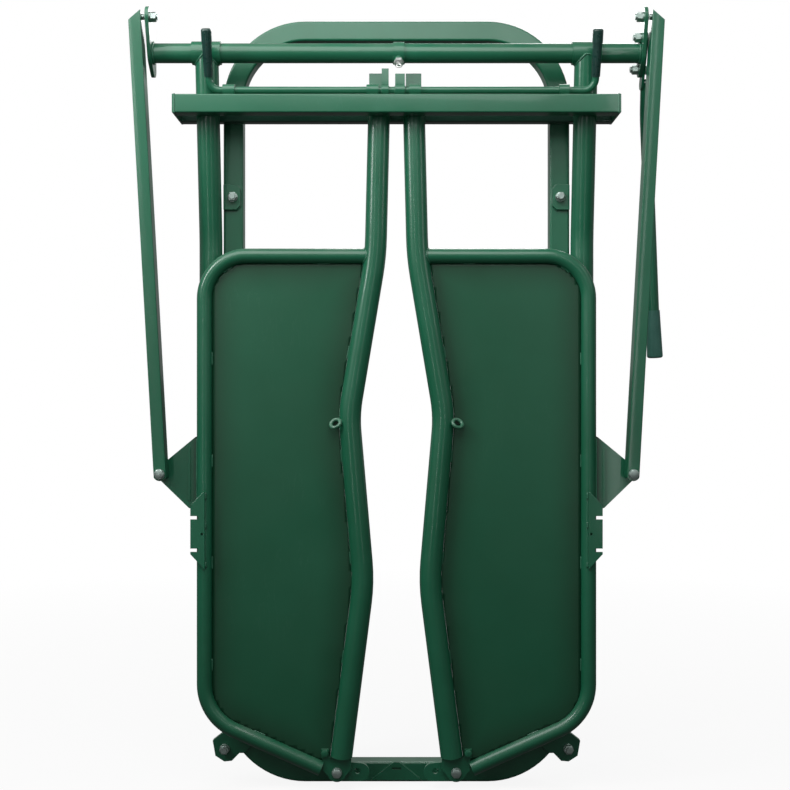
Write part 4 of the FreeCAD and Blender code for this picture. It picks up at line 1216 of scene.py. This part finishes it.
@dataclass
class Studio:
    """The plain floor, the soft lamps and the camera of the photograph."""

    focal_px: float = 1250.0
    frame_px: float = 790.0
    sensor: float = 36.0
    eye: Triple = (-0.0033, -2.8312, 0.8695)
    floor_half: float = 40.0
    floor_seen: float = 0.70
    floor_bounce: float = 0.06
    floor_white: float = 0.90
    floor_gloss: float = 0.05
    fade: Pair = (0.2, 3.4)
    ambient: float = 0.05
    world_gloss: float = 0.26
    lamps: tuple[Lamp, ...] = (
        Lamp("front_top", (-0.50, -1.05, 2.45), (0.0, -0.1, 1.35), (2.8, 1.3), 38.0),
        Lamp("left_tall", (-2.0, -1.2, 2.2), (0.0, -0.1, 1.5), (0.4, 1.2), 20.0),
        Lamp("right_tall", (2.2, -1.0, 2.1), (0.0, -0.1, 1.5), (0.4, 1.2), 4.0),
        Lamp("left_strip", (-1.1, -2.5, 1.35), (0.0, -0.1, 1.25), (0.06, 2.2), 4.2),
        Lamp("right_strip", (0.9, -2.5, 1.35), (0.0, -0.1, 1.25), (0.06, 2.2), 2.6),
        Lamp("back_top", (0.6, 1.7, 2.7), (0.0, 0.0, 1.2), (2.0, 1.0), 34.0),
    )

    def build(self) -> None:
        """Makes the floor, world, lamps and camera."""
        bpy.context.scene.view_settings.view_transform = "Standard"
        self._floor()
        self._world()
        for lamp in self.lamps:
            lamp.build()
        self._camera()
        LOG.info("studio with %d lamps", len(self.lamps))

    @staticmethod
    def _white_share(write: NodeTree, to_eye: float, to_gloss: float,
                     otherwise: float) -> Socket:
        """How bright the surroundings are to each kind of ray.

        Args:
            write: The writer of a material or world.
            to_eye: Seen directly or through glass.
            to_gloss: Seen in a reflection.
            otherwise: As light on the gate.

        Returns:
            The socket with the share.
        """
        path = write.add("ShaderNodeLightPath").outputs
        eye = write.maths("MAXIMUM", path["Is Camera Ray"], path["Is Transmission Ray"])
        gloss = write.maths("MULTIPLY", path["Is Glossy Ray"], to_gloss - otherwise)
        raised = write.maths("MAXIMUM", write.maths("MULTIPLY", eye, to_eye - otherwise), gloss)
        return write.maths("ADD", raised, otherwise)

    def _floor(self) -> None:
        """A pale floor under the gate that keeps a soft shadow."""
        h = self.floor_half
        mesh = bpy.data.meshes.new("studio_floor")
        mesh.from_pydata([(-h, -h, 0), (h, -h, 0), (h, h, 0), (-h, h, 0)], [], [(0, 1, 2, 3)])
        floor = placed("studio_floor", mesh)
        made = bpy.data.materials.new("pale_floor")
        write = NodeTree.emptied(made)
        diffuse = write.add("ShaderNodeBsdfDiffuse")
        write.link(self._white_share(write, self.floor_seen, self.floor_bounce, self.floor_bounce),
                   diffuse.inputs["Color"])
        away = write.add("ShaderNodeVectorMath", operation="LENGTH")
        write.link(write.add("ShaderNodeTexCoord").outputs["Object"], away.inputs[0])
        far = write.span(away.outputs["Value"], *self.fade)
        glow = write.add("ShaderNodeEmission", Color=WHITE, Strength=1.0)
        mix = write.add("ShaderNodeMixShader")
        near = self._white_share(write, self.floor_white, self.floor_gloss, 0.0)
        eye = write.add("ShaderNodeLightPath").outputs["Is Camera Ray"]
        rest = write.maths("MULTIPLY", write.maths("MULTIPLY", far, eye), 1.0 - self.floor_white)
        write.link(write.maths("ADD", near, rest), mix.inputs[0])
        write.link(diffuse.outputs[0], mix.inputs[1])
        write.link(glow.outputs[0], mix.inputs[2])
        write.link(mix.outputs[0], write.add("ShaderNodeOutputMaterial").inputs["Surface"])
        mesh.materials.append(made)

    def _world(self) -> None:
        """White to the eye, dimmer in reflections, and a low even light on the gate."""
        world = bpy.data.worlds.new("studio")
        bpy.context.scene.world = world
        write = NodeTree.emptied(world)
        sky = write.add("ShaderNodeBackground", Color=WHITE)
        write.link(self._white_share(write, 1.0, self.world_gloss, self.ambient), sky.inputs["Strength"])
        write.link(sky.outputs[0], write.add("ShaderNodeOutputWorld").inputs["Surface"])

    def _camera(self) -> None:
        """The photograph's camera: level, in front of the gate's middle."""
        data = bpy.data.cameras.new("photo_camera")
        data.sensor_width = self.sensor
        data.lens = self.focal_px / self.frame_px * self.sensor
        camera = placed("photo_camera", data)
        camera.location = self.eye
        camera.rotation_euler = (math.pi / 2, 0.0, 0.0)
        bpy.context.scene.camera = camera


def main() -> None:
    """Loads the frame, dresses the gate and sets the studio."""
    logging.basicConfig(level=logging.INFO, format="%(name)s: %(message)s")
    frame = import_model()
    dresser = Dresser(frame["nodes"], Effects())
    assemblies: list[SubAssembly] = [StandingFrame(dresser), LiftShaft(dresser), LatchRod(dresser)]
    assemblies += [SwingDoor(dresser, side=side) for side in Side]
    assemblies += [DoorLink(dresser, side=side) for side in Side]
    for assembly in assemblies:
        assembly.build()
    missed = sorted(set(dresser.nodes) - dresser.dressed)
    LOG.info("nodes without a finish: %s", missed or "none")
    Studio().build()


if __name__ == "__main__":
    main()
